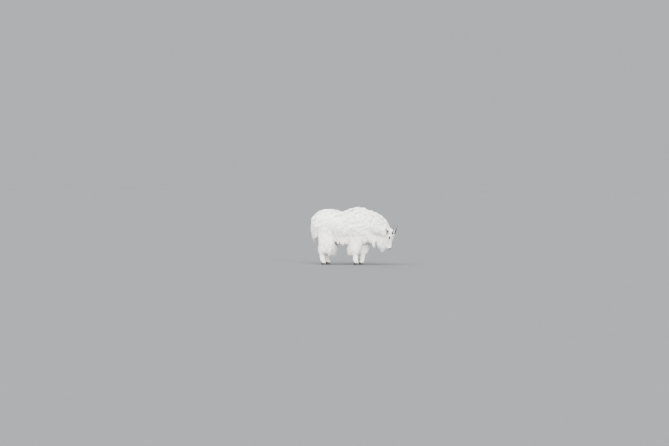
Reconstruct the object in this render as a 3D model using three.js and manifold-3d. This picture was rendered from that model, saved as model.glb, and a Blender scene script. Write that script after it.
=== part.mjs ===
import * as THREE from "three";
import Module from "manifold-3d";

// A mountain goat in its winter coat, standing with its head lowered and turned a little to its right.
// Millimetres, +X to the head, +Y to the animal's left, +Z up, the floor at z = 0.

const wasm = await Module();
wasm.setup();

// Driving dimensions
const gap = 0.3; // what touching nodes keep between them
const coatShare = 0.45; // how far the core reaches from the flesh to the tips of the coat
const lockSpacing = 170; // between the roots of the body's locks
const legSpacing = 86; // of a foot from the middle plane
const headYaw = THREE.MathUtils.degToRad(-20);
const headLean = THREE.MathUtils.degToRad(5); // the nose lies behind the poll by this angle
const poll = new THREE.Vector3(630, -50, 570);
const headLength = 308;
const eye = { along: 112, front: 16, side: 53, radius: 16 };
const horn = { along: 70, front: 42, side: 27, radius: 15, length: 182, sink: 24 };
const ear = { along: 46, front: 2, side: 50, length: 128, half: 26, wall: 4.5, sink: 16 };
const claw = { length: 66, half: 15, height: 44, spread: 16.5 };

// Torso by stations along x: top and low of the flesh, half its width,
// then the coat's depth above, beside and below
const torsoRows = [
  [-655, 765, 610, 62, 44, 44, 40],
  [-615, 815, 545, 106, 46, 46, 45],
  [-560, 852, 512, 134, 48, 46, 50],
  [-450, 890, 500, 150, 50, 44, 60],
  [-350, 886, 485, 151, 50, 44, 80],
  [-250, 862, 462, 152, 48, 42, 105],
  [-150, 838, 442, 156, 52, 42, 110],
  [-60, 862, 434, 156, 72, 46, 85],
  [50, 896, 430, 150, 78, 54, 60],
  [130, 902, 430, 146, 76, 58, 60],
  [220, 884, 445, 134, 72, 60, 75],
  [300, 850, 490, 108, 70, 62, 95],
  [360, 800, 560, 78, 66, 60, 95],
];

// Neck by stations: x, y, z of its middle, half depth above and below, half width,
// then the coat's depth above, below and beside
const neckRows = [
  [0, 220, 0, 690, 165, 170, 128, 60, 80, 50],
  [0.25, 320, -3, 672, 150, 150, 116, 66, 110, 56],
  [0.5, 412, -14, 640, 122, 122, 95, 74, 120, 58],
  [0.75, 500, -32, 590, 96, 98, 76, 66, 100, 52],
  [1, 578, -46, 530, 72, 70, 60, 34, 30, 30],
];

// Head by stations down the face: half depth to the front and to the back, half width, and the coat's depth
const headRows = [
  [-24, 4, 30, 22, 14],
  [8, 38, 70, 50, 14],
  [45, 50, 90, 57, 12],
  [78, 54, 98, 62, 9],
  [112, 48, 92, 62, 8],
  [150, 40, 80, 50, 8],
  [190, 34, 66, 40, 7],
  [230, 31, 54, 34, 6],
  [265, 29, 45, 34, 5],
  [290, 22, 37, 31, 3],
  [headLength, 9, 22, 20, 2],
];

// Legs by their joints as x, z, then by stations from the first joint to the last:
// half size to the front, back and side, then the coat to the front, back and side
const foreRows = [
  [0, 75, 75, 45, 20, 20, 20],
  [0.25, 48, 62, 42, 35, 95, 36],
  [0.38, 38, 42, 36, 36, 110, 42],
  [0.5, 34, 32, 32, 28, 105, 36],
  [0.58, 29, 29, 28, 22, 66, 26],
  [0.66, 28, 28, 27, 20, 20, 20],
  [0.75, 30, 33, 30, 18, 18, 16],
  [0.88, 28, 28, 29, 16, 16, 14],
  [1, 36, 30, 34, 8, 8, 6],
];
const hindRows = [
  [0, 95, 90, 60, 20, 20, 20],
  [0.25, 76, 132, 62, 46, 50, 45],
  [0.38, 50, 70, 46, 110, 56, 48],
  [0.48, 36, 44, 36, 130, 34, 36],
  [0.56, 30, 34, 30, 70, 24, 26],
  [0.64, 28, 30, 28, 20, 20, 20],
  [0.75, 31, 34, 31, 18, 18, 16],
  [0.88, 28, 28, 29, 16, 16, 14],
  [1, 36, 30, 34, 8, 8, 6],
];
const legs = {
  foreleg_right: {
    side: -1,
    rows: foreRows,
    joints: [[150, 620], [80, 430], [44, 262], [50, 95], [60, 40]],
  },
  foreleg_left: {
    side: 1,
    rows: foreRows,
    joints: [[185, 620], [180, 430], [166, 262], [130, 95], [122, 40]],
  },
  hindleg_right: {
    side: -1,
    rows: hindRows,
    joints: [[-520, 690], [-418, 490], [-517, 285], [-503, 95], [-488, 40]],
  },
  hindleg_left: {
    side: 1,
    rows: hindRows,
    joints: [[-500, 690], [-390, 490], [-498, 285], [-463, 95], [-436, 40]],
  },
};

// Tail by stations: x, z of its middle, half its width and the coat round it
const tailRows = [
  [0, -600, 775, 34, 20],
  [0.35, -672, 742, 24, 24],
  [0.65, -694, 668, 18, 26],
  [1, -690, 575, 8, 22],
];

// Smooth values between the stations of a table, by the table's first column
function between(rows, at) {
  const found = rows.findIndex((row) => row[0] > at);
  const i = found < 0 ? rows.length - 2 : Math.max(found - 1, 0);
  const [from, to] = [rows[i], rows[i + 1]];
  const before = rows[Math.max(i - 1, 0)];
  const after = rows[Math.min(i + 2, rows.length - 1)];
  const span = to[0] - from[0];
  const t = (at - from[0]) / span;
  return from.map((value, k) => {
    const leave = ((to[k] - before[k]) / (to[0] - before[0])) * span;
    const arrive = ((after[k] - from[k]) / (after[0] - from[0])) * span;
    const bend = value * (2 * t ** 3 - 3 * t ** 2 + 1) + to[k] * (3 * t ** 2 - 2 * t ** 3);
    return bend + leave * (t ** 3 - 2 * t ** 2 + t) + arrive * (t ** 3 - t ** 2);
  });
}

// One closed solid from points and faces, turned outwards if its volume comes out negative
function solid(points, faces) {
  let volume = 0;
  for (const [a, b, c] of faces) volume += points[a].dot(points[b].clone().cross(points[c]));
  const outward = volume < 0 ? faces.map(([a, b, c]) => [a, c, b]) : faces;
  const vertProperties = new Float32Array(points.flatMap((p) => [p.x, p.y, p.z]));
  const triVerts = new Uint32Array(outward.flat());
  return new wasm.Manifold(new wasm.Mesh({ numProp: 3, vertProperties, triVerts }));
}

// A solid through rings of equal count, closed on a point at each end
function loft(rings, first, last) {
  const n = rings[0].length;
  const points = [first, ...rings.flat(), last];
  const faces = [];
  for (let i = 0; i < n; i++) {
    const j = (i + 1) % n;
    faces.push([0, 1 + j, 1 + i]);
    const end = 1 + (rings.length - 1) * n;
    faces.push([points.length - 1, end + i, end + j]);
    for (let r = 0; r + 1 < rings.length; r++) {
      const a = 1 + r * n;
      faces.push([a + i, a + j, a + n + i], [a + j, a + n + j, a + n + i]);
    }
  }
  return solid(points, faces);
}

function middleOf(ring) {
  return ring.reduce((sum, p) => sum.add(p), new THREE.Vector3()).divideScalar(ring.length);
}

function loftFlat(rings) {
  return loft(rings, middleOf(rings[0]), middleOf(rings.at(-1)));
}

// A signed power, which squares or sharpens a round section
function shaped(value, power) {
  return Math.sign(value) * Math.abs(value) ** power;
}

function turns(count) {
  return Array.from({ length: count }, (_, i) => (i / count) * 2 * Math.PI);
}

function steps(count) {
  return Array.from({ length: count }, (_, i) => i / (count - 1));
}

// A closed solid from a three.js geometry, moved and turned into its place
function solidOf(geometry, matrix) {
  const flat = geometry.index ? geometry.toNonIndexed() : geometry;
  const place = flat.getAttribute("position");
  const points = [];
  const seen = new Map();
  const order = [];
  for (let i = 0; i < place.count; i++) {
    const p = new THREE.Vector3().fromBufferAttribute(place, i);
    const key = [p.x, p.y, p.z].map((value) => Math.round(value * 1e4)).join();
    if (!seen.has(key)) {
      seen.set(key, points.length);
      points.push(p.applyMatrix4(matrix));
    }
    order.push(seen.get(key));
  }
  const faces = [];
  for (let i = 0; i < order.length; i += 3) {
    const [a, b, c] = order.slice(i, i + 3);
    if (a !== b && b !== c && a !== c) faces.push([a, b, c]);
  }
  return solid(points, faces);
}

// A point of the torso's surface at a turn from its ridge, the coat counted by share
function torsoPoint(x, turn, share) {
  const [, top, low, half, above, beside, below] = between(torsoRows, x);
  const highest = top + share * above;
  const lowest = low - share * below;
  const middle = low + 0.5 * (top - low);
  const up = Math.cos(turn);
  const narrow = up > 0 ? 1.2 : 0.85;
  const y = (half + share * beside) * shaped(Math.sin(turn), narrow);
  const z = middle + (up > 0 ? (highest - middle) * up : (middle - lowest) * up);
  return new THREE.Vector3(x, y, z);
}

function torsoSolid(share) {
  const ringTurns = turns(14);
  const [rear, front] = [torsoRows[0][0], torsoRows.at(-1)[0]];
  const rings = steps(12).map((t) => {
    const x = rear + t * (front - rear);
    return ringTurns.map((turn) => torsoPoint(x, turn, share));
  });
  const end = middleOf(rings[0]).add(new THREE.Vector3(-14 - 30 * share, 0, 0));
  return loft(rings, end, middleOf(rings.at(-1)));
}

// A point of the neck's surface at a turn from its crest
function neckPoint(s, turn, share) {
  const [, x, y, z, above, below, half, coatAbove, coatBelow, coatBeside] = between(neckRows, s);
  const ahead = between(neckRows, Math.min(s + 0.02, 1));
  const behind = between(neckRows, Math.max(s - 0.02, 0));
  const travel = new THREE.Vector3(...ahead.slice(1, 4)).sub(new THREE.Vector3(...behind.slice(1, 4)));
  travel.normalize();
  const side = new THREE.Vector3(0, 0, 1).cross(travel).normalize();
  const crest = travel.clone().cross(side);
  const up = Math.cos(turn);
  const depth = up > 0 ? above + share * coatAbove : below + share * coatBelow;
  const point = new THREE.Vector3(x, y, z).addScaledVector(crest, depth * up);
  return point.addScaledVector(side, (half + share * coatBeside) * Math.sin(turn));
}

function neckSolid(share) {
  const ringTurns = turns(12);
  const rings = steps(6).map((s) => ringTurns.map((turn) => neckPoint(s, turn, share)));
  return loftFlat(rings);
}

// A direction or place from its shares along three others
function blend(shares, directions, start = new THREE.Vector3()) {
  const sum = start.clone();
  shares.forEach((share, i) => sum.addScaledVector(directions[i], share));
  return sum;
}

// The head's own axes: down the face, out of its front, and to the animal's left
const forward = new THREE.Vector3(Math.cos(headYaw), Math.sin(headYaw), 0);
const upward = new THREE.Vector3(0, 0, 1);
const down = blend([-Math.sin(headLean), -Math.cos(headLean)], [forward, upward]);
const front = blend([Math.cos(headLean), -Math.sin(headLean)], [forward, upward]);
const left = upward.clone().cross(forward);
const headAxes = [down, front, left];

function inHead(along, ahead, aside) {
  return blend([along, ahead, aside], headAxes, poll);
}

// A point of the head's surface at a turn from the bridge of the nose
function headPoint(along, turn, grow = 0) {
  const [, ahead, behind, half, coat] = between(headRows, along);
  const extra = coat + grow;
  const up = Math.cos(turn);
  const depth = (up > 0 ? ahead : behind) + extra;
  return inHead(along, depth * up, (half + extra) * shaped(Math.sin(turn), up > 0 ? 1 : 1.15));
}

function headSolid(grow = 0) {
  const ringTurns = turns(14);
  const top = headRows[0][0];
  const rings = steps(14).map((t) => {
    const along = top + t * (headLength - top);
    return ringTurns.map((turn) => headPoint(along, turn, grow));
  });
  return loft(rings, inHead(top - 8 - grow, -14, 0), inHead(headLength + 5 + grow, -6, 0));
}

// A matrix that sets a piece in the head, its own x, y, z turned to the three directions given
function headPlace(along, ahead, aside, x, y, z) {
  return new THREE.Matrix4().makeBasis(x, y, z).setPosition(inHead(along, ahead, aside));
}

function eyeSolid(side, grow) {
  const place = headPlace(eye.along, eye.front, side * eye.side, left, front, down);
  return solidOf(new THREE.SphereGeometry(eye.radius + grow, 12, 8), place);
}

// The lids are a ring round the eye's opening, set on the slant of the cheek
function lidSolid(side) {
  const outward = blend([0, 0.42, side * 0.9], headAxes).normalize();
  const along = down.clone().addScaledVector(outward, -down.dot(outward)).normalize();
  const across = outward.clone().cross(along);
  const place = new THREE.Matrix4().makeBasis(along, across, outward);
  place.setPosition(inHead(eye.along, eye.front, side * eye.side).addScaledVector(outward, 8));
  return solidOf(new THREE.TorusGeometry(14.5, 5, 4, 10).scale(1.2, 0.9, 1), place);
}

// A horn rises from the forehead and curves back on an arc
function hornSolid(side, grow) {
  const rings = [];
  const start = inHead(horn.along, horn.front, side * horn.side);
  const at = start.clone();
  const sections = 10;
  const stretch = (horn.length + horn.sink) / sections;
  for (let i = 0; i <= sections; i++) {
    const t = i / sections;
    const lean = THREE.MathUtils.degToRad(34 - 34 * t);
    const apart = side * (0.16 + 0.04 * t);
    const travel = blend([-Math.cos(lean), Math.sin(lean), apart], headAxes).normalize();
    if (i === 0) at.addScaledVector(travel, -horn.sink - grow);
    const across = travel.clone().cross(left).normalize();
    const beside = across.clone().cross(travel);
    const ridge = i % 2 && t < 0.6 ? 0.7 : 0;
    const radius = horn.radius * (1 - 0.84 * t ** 1.15) + ridge + grow;
    rings.push(turns(8).map((turn) => at.clone()
      .addScaledVector(across, radius * Math.cos(turn))
      .addScaledVector(beside, radius * Math.sin(turn))));
    if (i < sections) at.addScaledVector(travel, stretch);
  }
  return loft(rings, middleOf(rings[0]), at.clone().addScaledVector(down, -5));
}

// An ear is a long leaf with a cup in its front
function earSolid(side, grow) {
  const reach = blend([-0.62, -0.04, side * 0.8], headAxes).normalize();
  const open = blend([0, 1, side * 0.5], headAxes);
  open.addScaledVector(reach, -open.dot(reach)).normalize();
  const across = reach.clone().cross(open);
  const start = inHead(ear.along, ear.front, side * ear.side).addScaledVector(reach, -ear.sink - grow);
  const shape = (wall, offset, from, to) => {
    const rings = steps(6).map((t) => {
      const u = from + t * (to - from);
      const leaf = (0.52 + 1.25 * u ** 0.8 * (1 - u)) * (1 - 0.75 * u ** 3);
      const half = ear.half * leaf - wall + grow;
      const centre = start.clone().addScaledVector(reach, u * (ear.length + ear.sink));
      centre.addScaledVector(open, offset - 14 * u * u);
      return turns(8).map((turn) => centre.clone()
        .addScaledVector(across, half * Math.cos(turn))
        .addScaledVector(open, 0.62 * half * Math.sin(turn)));
    });
    return loftFlat(rings);
  };
  const cup = shape(ear.wall, 12, 0.2, 0.93);
  return grow ? shape(0, 0, 0, 1) : shape(0, 0, 0, 1).subtract(cup);
}

// The mouth's line is a groove round the muzzle, with a lip on either side, and the nostrils are two pits
function muzzleCuts() {
  const corner = { along: 246, ahead: -16 };
  const tip = { along: headLength + 20, ahead: -8 };
  const middle = inHead((corner.along + tip.along) / 2, (corner.ahead + tip.ahead) / 2, 0);
  const travel = inHead(tip.along, tip.ahead, 0).sub(inHead(corner.along, corner.ahead, 0));
  const length = travel.length();
  travel.normalize();
  const place = new THREE.Matrix4().makeBasis(travel, left, travel.clone().cross(left)).setPosition(middle);
  const slab = solidOf(new THREE.BoxGeometry(length, 120, 2.4), place);
  const line = slab.subtract(headSolid(-5));
  const nostrils = [-1, 1].map((side) => {
    const slant = down.clone().addScaledVector(left, side * 0.5).normalize();
    const across = front.clone().cross(slant).normalize();
    const at = new THREE.Matrix4().makeBasis(slant, across, slant.clone().cross(across));
    at.setPosition(inHead(294, 18, side * 15));
    return solidOf(new THREE.SphereGeometry(1, 8, 6).scale(10, 5, 9), at);
  });
  return wasm.Manifold.union([line, ...nostrils]);
}

function legPath(leg) {
  const across = leg.side * legSpacing;
  const places = leg.joints.map(([x, z], i) => new THREE.Vector3(x, across * (i ? 1 : 0.85), z));
  return new THREE.CatmullRomCurve3(places);
}

// A point of a leg's surface at a turn from its front
function legPoint(leg, path, s, turn, share) {
  const [, ahead, behind, half, coatAhead, coatBehind, coatBeside] = between(leg.rows, s);
  const up = Math.cos(turn);
  const kept = THREE.MathUtils.lerp(share, 1, THREE.MathUtils.smoothstep(s, 0.5, 0.64));
  const depth = up > 0 ? ahead + kept * coatAhead : behind + kept * coatBehind;
  const travel = path.getTangent(s);
  const fore = new THREE.Vector3(-travel.z, 0, travel.x).normalize();
  const level = THREE.MathUtils.smoothstep(s, 0.3, 0.5);
  fore.lerp(new THREE.Vector3(1, 0, 0), level).normalize();
  const point = path.getPoint(s).addScaledVector(fore, depth * up);
  point.y += (half + kept * coatBeside) * Math.sin(turn);
  return point;
}

function legSolid(leg, share) {
  const path = legPath(leg);
  const ringTurns = turns(8);
  const rings = steps(11).map((s) => ringTurns.map((turn) => legPoint(leg, path, s, turn, share)));
  return loftFlat(rings);
}

// A claw of a hoof stands flat on the floor and leans back to the coronet
function clawSolid(foot, inner, grow) {
  const rings = steps(4).map((t) => {
    const middle = new THREE.Vector3(foot.x - 5 - 6 * t, foot.y + inner * (claw.spread + (1 - t) * 1.5), 0);
    const z = t * (claw.height + grow);
    const toe = claw.length * (0.62 - 0.3 * t) + grow;
    const heel = claw.length * (0.38 - 0.02 * t) + grow;
    const half = claw.half * (1 - 0.12 * t) + grow;
    return turns(8).map((turn) => {
      const along = Math.cos(turn);
      const x = along > 0 ? toe * along : heel * shaped(along, 0.8);
      const y = half * shaped(Math.sin(turn), 0.8) * (1 - 0.25 * Math.max(along, 0) ** 2);
      return new THREE.Vector3(x, y, z).add(middle);
    });
  });
  return loftFlat(rings);
}

// A dewclaw is a short blunt cone behind the fetlock
function dewclawSolid(foot, inner, grow) {
  const rings = steps(3).map((t) => {
    const radius = 9 * (1 - 0.45 * t) + grow;
    const centre = new THREE.Vector3(foot.x - 38 - 14 * t, foot.y + inner * 14, 86 - 22 * t);
    return turns(6).map((turn) => {
      const [u, v] = [radius * Math.cos(turn), radius * Math.sin(turn)];
      return new THREE.Vector3(0.75 * u, v, 0.6 * u).add(centre);
    });
  });
  return loftFlat(rings);
}

function tailSolid(share) {
  const rings = steps(6).map((s) => {
    const [, x, z, half, coat] = between(tailRows, s);
    const radius = half + share * coat;
    const ahead = between(tailRows, Math.min(s + 0.02, 1));
    const behind = between(tailRows, Math.max(s - 0.02, 0));
    const travel = new THREE.Vector3(ahead[1] - behind[1], 0, ahead[2] - behind[2]).normalize();
    const rise = new THREE.Vector3(-travel.z, 0, travel.x);
    return turns(10).map((turn) => new THREE.Vector3(x, 0, z)
      .addScaledVector(rise, radius * 0.8 * Math.cos(turn))
      .add(new THREE.Vector3(0, radius * 1.15 * Math.sin(turn), 0)));
  });
  const tip = middleOf(rings.at(-1)).add(new THREE.Vector3(6, 0, -28 - 40 * share));
  return loft(rings, middleOf(rings[0]), tip);
}

// A region to part the animal by: a box from its middle, its size and a lean about y
function region(middle, size, lean = 0) {
  const place = new THREE.Matrix4().makeRotationY(lean).setPosition(...middle);
  const box = (grow) => {
    const [x, y, z] = size.map((value) => value + grow);
    return solidOf(new THREE.BoxGeometry(x, y, z), place);
  };
  return { inner: box(0), outer: box(2 * gap) };
}

function largest(whole) {
  return whole.decompose().reduce((best, part) => (part.volume() > best.volume() ? part : best));
}

// Seeded draws, so that each build is the same
let seed = 20817;
function draw(low, high) {
  seed = (seed * 1664525 + 1013904223) % 4294967296;
  return low + (high - low) * (seed / 4294967296);
}

// A lock of hair is flat and tapered: it leaves the core, bends over and lies along the coat.
// Its own sizes are its length, half width and thickness, how far it rises, how deep its root is sunk,
// and how far its tip falls back to the body and sags.
function lockSolid(root, out, lie, size) {
  const { length, half, rise } = size;
  const { thick = 16, sink = 26, fall = 0, sag = 0, sections = 3 } = size;
  const reach = (along, up, down) => {
    const point = root.clone().addScaledVector(out, up).addScaledVector(lie, along * length);
    return point.setZ(point.z - down * sag);
  };
  const path = new THREE.CubicBezierCurve3(
    reach(0, -sink, 0), reach(0.3, rise * 1.1, 0),
    reach(0.72, rise * 1.05 - fall * 0.4, 0.4), reach(1, rise * 0.7 - fall, 1));
  const rings = steps(sections + 1).slice(0, -1).map((t) => {
    const travel = path.getTangent(t);
    const across = travel.clone().cross(out).normalize();
    const top = across.clone().cross(travel).normalize();
    const wide = half * (0.72 + 0.62 * t - 0.95 * t * t);
    const deep = thick * (1 - 0.55 * t);
    return [[1, 0], [0.1, 0.7], [-1, 0]].map(([u, v]) => path.getPoint(t)
      .addScaledVector(across, u * wide)
      .addScaledVector(top, v * deep));
  });
  return loft(rings, middleOf(rings[0]), path.getPoint(1));
}

// A surface's point, its way out and its lie there, from a function of two places on it
function onSurface(point, u, turn, du, flow) {
  const root = point(u, turn);
  const alongU = point(u + du, turn).sub(point(u - du, turn));
  const alongTurn = point(u, turn + 0.05).sub(point(u, turn - 0.05));
  const out = alongU.cross(alongTurn).normalize();
  const lie = flow.clone().addScaledVector(out, -flow.dot(out)).normalize();
  lie.applyAxisAngle(out, draw(-0.2, 0.2));
  return { root, out, lie };
}

function torsoLocks() {
  const found = [];
  const core = (x, turn) => torsoPoint(x, turn, coatShare);
  let column = 0;
  for (let x = -622; x < 340; x += lockSpacing) {
    column += 1;
    const [, top, low, , above, beside] = between(torsoRows, x);
    const rows = Math.round((top - low + 260) / lockSpacing);
    for (let row = 0; row <= rows; row++) {
      for (const side of row ? [-1, 1] : [1]) {
        const turn = side * (0.06 + (2.42 * (row + (column % 2) * 0.45)) / rows);
        if (Math.abs(turn) > 2.5) continue;
        const lower = THREE.MathUtils.smoothstep(Math.abs(turn), 0.2, 1.9);
        const flow = new THREE.Vector3(-1 + 0.72 * lower, side * 0.35 * (1 - lower), -0.25 - 0.8 * lower);
        const at = onSurface(core, x + draw(-16, 16), turn + draw(-0.05, 0.05), 6, flow);
        const depth = THREE.MathUtils.lerp(above * 1.25, beside * 0.8, lower) * (1 - coatShare);
        found.push(lockSolid(at.root, at.out, at.lie, {
          length: draw(235, 265) + 25 * lower,
          half: draw(84, 98),
          rise: depth * draw(0.85, 1.05),
          fall: 76 - 34 * lower,
          thick: 18,
        }));
      }
    }
  }
  return found;
}

// The rump's end has its own locks, which hang beside the tail
function rumpLocks() {
  const found = [];
  for (const side of [-1, 1]) {
    const out = new THREE.Vector3(-0.94, side * 0.34, 0.05).normalize();
    const root = new THREE.Vector3(-640, side * 62, 712);
    const lie = new THREE.Vector3(-0.12, side * 0.1, -1).normalize();
    found.push(lockSolid(root, out, lie, { length: draw(170, 200), half: draw(54, 64), rise: 26 }));
  }
  return found;
}

// The belly's skirt hangs from its sides and its middle
function skirtLocks() {
  const found = [];
  const core = (x, turn) => torsoPoint(x, turn, coatShare);
  for (let x = -300; x < 0; x += 98) {
    const betweenLegs = x < -150;
    for (const turn of betweenLegs ? [-2.4, 2.4, -2.9, 2.9] : [-2.4, 2.4]) {
      const at = onSurface(core, x + draw(-14, 14), turn, 6, new THREE.Vector3(-0.12, 0, -1));
      at.out.lerp(new THREE.Vector3(0, Math.sign(turn), 0), 0.6).normalize();
      const lie = new THREE.Vector3(draw(-0.2, 0.05), 0, -1).normalize();
      const length = between(torsoRows, x)[6] * 0.55 + draw(75, 110);
      found.push(lockSolid(at.root, at.out, lie, { length, half: draw(54, 64), rise: 8 }));
    }
  }
  return found;
}

function neckLocks() {
  const found = [];
  const core = (s, turn) => neckPoint(s, turn, coatShare);
  for (let i = 0; i < 3; i++) {
    const s = 0.16 + i * 0.32;
    const [above, below, beside] = between(neckRows, s).slice(7);
    for (const turn of [0, 0.95, -0.95, 1.85, -1.85, 2.75, -2.75]) {
      const lower = THREE.MathUtils.smoothstep(Math.abs(turn), 0.1, 1.6);
      const throat = THREE.MathUtils.smoothstep(Math.abs(turn), 1.6, 2.6);
      const flow = new THREE.Vector3(-0.9 + 0.6 * lower, 0, 0.25 - 1.35 * lower);
      const at = onSurface(core, s + draw(-0.03, 0.03), turn + draw(-0.08, 0.08), 0.02, flow);
      if (throat > 0.3) at.lie.lerp(new THREE.Vector3(-0.1, 0, -1), throat).normalize();
      const under = THREE.MathUtils.lerp(beside, below, throat * 0.4);
      const depth = (lower < 0.5 ? above * 0.8 : under) * (1 - coatShare);
      found.push(lockSolid(at.root, at.out, at.lie, {
        length: draw(200, 230),
        half: draw(68, 80) * (1.06 - 0.3 * s),
        rise: depth * draw(0.85, 1.05),
        fall: 58 * (1 - throat),
        sag: 20 * throat,
        thick: 18,
      }));
    }
  }
  return found;
}

// The chest's ruff hangs between the forelegs and the beard
function chestLocks() {
  const found = [];
  for (const [x, z] of [[306, 500], [356, 505]]) {
    for (const y of [-72, 0, 70]) {
      const out = new THREE.Vector3(0.75, y / 160, -0.2).normalize();
      const lie = new THREE.Vector3(draw(-0.15, 0.05), y / 700, -1).normalize();
      const size = { length: draw(130, 160), half: draw(46, 54), rise: 22 };
      found.push(lockSolid(new THREE.Vector3(x, y, z), out, lie, size));
    }
  }
  return found;
}

// Long hair hangs from the upper legs like breeches, in rows on either side of a leg. Each row has its
// place on the leg, its locks' count, and from front to back their length and how far they lean along x
const foreChaps = [
  { s: 0.26, count: 3, long: [150, 215], lean: [0.12, -0.42] },
  { s: 0.42, count: 2, long: [100, 150], lean: [0.06, -0.5] },
];
const hindChaps = [
  { s: 0.18, count: 1, long: [205, 205], lean: [-0.06, -0.06] },
  { s: 0.28, count: 3, long: [225, 150], lean: [0.36, -0.12] },
  { s: 0.42, count: 2, long: [140, 90], lean: [0.55, -0.1] },
];

function legLocks(leg) {
  const found = [];
  const path = legPath(leg);
  for (const { s, count, long, lean } of leg.rows === foreRows ? foreChaps : hindChaps) {
    for (const side of [-1, 1]) {
      for (let i = 0; i < count; i++) {
        const u = count > 1 ? i / (count - 1) : 1;
        const turn = side * (0.75 + 1.65 * u);
        const root = legPoint(leg, path, s, turn, coatShare);
        const out = new THREE.Vector3(0.45 - 0.9 * u, side, 0).normalize();
        const lie = new THREE.Vector3(THREE.MathUtils.lerp(...lean, u), side * 0.04, -1).normalize();
        const length = THREE.MathUtils.lerp(...long, u) * draw(0.92, 1.08);
        const size = { length, half: draw(46, 56), rise: 16, sink: 24, thick: 15 };
        found.push(lockSolid(root, out, lie, size));
      }
    }
  }
  return found;
}

function tailLocks() {
  const found = [];
  for (const [x, y, z, long] of [[-688, -16, 735, 160], [-688, 16, 720, 160], [-700, 0, 660, 130]]) {
    const out = new THREE.Vector3(-1, y / 40, 0.1).normalize();
    const lie = new THREE.Vector3(0.02, y / 400, -1).normalize();
    const size = { length: long * draw(0.95, 1.05), half: draw(24, 29), rise: 14, sink: 18, thick: 12 };
    found.push(lockSolid(new THREE.Vector3(x, y, z), out, lie, size));
  }
  return found;
}

// The beard's locks hang from the jaw and the throat, longest in the middle
function beardLocks() {
  const found = [];
  for (let i = 0; i < 4; i++) {
    const t = i / 3;
    for (const side of [-1, 1]) {
      const along = 262 - 150 * t;
      const [, , behind, half] = between(headRows, along);
      const root = inHead(along, -behind * 0.86, side * half * 0.45);
      const out = blend([0, -0.25, side], headAxes).normalize();
      const lie = new THREE.Vector3(-0.6 + 0.1 * t, side * -0.1, -0.6 - 0.3 * t).normalize();
      found.push(lockSolid(root, out, lie, {
        length: (96 + 130 * t) * draw(0.94, 1.06),
        half: draw(33, 40),
        rise: 12,
        sink: 16,
        sag: 24,
        thick: 13,
      }));
    }
  }
  return found;
}

// Shorter locks lie behind the cheek and between the horns
function cheekLocks() {
  const found = [];
  for (const side of [-1, 1]) {
    for (const along of [50, 100]) {
      const root = inHead(along, -62, side * 48);
      const out = blend([0, -0.5, side], headAxes).normalize();
      const lie = blend([1, -0.8, 0], headAxes).normalize();
      found.push(lockSolid(root, out, lie, { length: 105, half: 30, rise: 16, sink: 18, thick: 11 }));
    }
  }
  for (const aside of [-26, 26]) {
    const out = blend([-0.7, 1, 0], headAxes).normalize();
    const lie = blend([-0.8, -1, 0], headAxes).normalize();
    const size = { length: 96, half: 34, rise: 10, sink: 18, fall: 8, thick: 11 };
    found.push(lockSolid(inHead(26, 36, aside), out, lie, size));
  }
  return found;
}

// The whole animal in one, before it is parted into its nodes
const bodyPieces = [torsoSolid(coatShare), neckSolid(coatShare), headSolid(), tailSolid(coatShare)];
for (const leg of Object.values(legs)) {
  bodyPieces.push(legSolid(leg, coatShare), ...legLocks(leg));
}
const trunkLocks = [torsoLocks, rumpLocks, skirtLocks, neckLocks, chestLocks];
const endLocks = [tailLocks, beardLocks, cheekLocks];
for (const make of [...trunkLocks, ...endLocks]) {
  bodyPieces.push(...make());
}
for (const side of [-1, 1]) {
  bodyPieces.push(lidSolid(side));
}
let whole = wasm.Manifold.union(bodyPieces).subtract(muzzleCuts());

const finishes = {
  coat: { color: 0xf0efeb, roughness: 0.9 },
  horn: { color: 0x1b1816, roughness: 0.35 },
  hoof: { color: 0x2b2724, roughness: 0.6 },
  eye: { color: 0x150d08, roughness: 0.08 },
};
const goat = new THREE.Group();

// A named mesh, its own material with the finish it is given
function node(name, piece, finish) {
  const { vertProperties, triVerts } = largest(piece).getMesh();
  const geometry = new THREE.BufferGeometry();
  geometry.setAttribute("position", new THREE.BufferAttribute(vertProperties, 3));
  geometry.setIndex(new THREE.BufferAttribute(triVerts, 1));
  const material = new THREE.MeshStandardMaterial({ ...finishes[finish], metalness: 0 });
  const mesh = new THREE.Mesh(geometry, material);
  mesh.name = name;
  goat.add(mesh);
}

const paired = { eye: [eyeSolid, "eye"], horn: [hornSolid, "horn"], ear: [earSolid, "coat"] };
for (const [name, side] of [["right", -1], ["left", 1]]) {
  for (const [label, [make, finish]] of Object.entries(paired)) {
    node(`${label}_${name}`, make(side, 0), finish);
    whole = whole.subtract(make(side, gap));
  }
}

for (const leg of Object.values(legs)) {
  const [x] = leg.joints.at(-1);
  const foot = new THREE.Vector3(x, leg.side * legSpacing, 0);
  leg.claws = [-1, 1].map((inner) => [clawSolid, dewclawSolid].map((make) => {
    whole = whole.subtract(make(foot, inner, gap));
    return make(foot, inner, 0);
  }));
}
for (const [name, leg] of Object.entries(legs)) {
  for (const [label, [hoof, dewclaw]] of [["right", leg.claws[0]], ["left", leg.claws[1]]]) {
    node(`${name}_claw_${label}`, hoof, "hoof");
    node(`${name}_dewclaw_${label}`, dewclaw, "hoof");
  }
}

// A box whose rear face passes through a place x, z and leans by an angle
function beyond(x, y, z, angle, size) {
  const lean = THREE.MathUtils.degToRad(angle);
  const half = size[0] / 2;
  return region([x + half * Math.cos(lean), y, z - half * Math.sin(lean)], size, lean);
}

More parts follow.
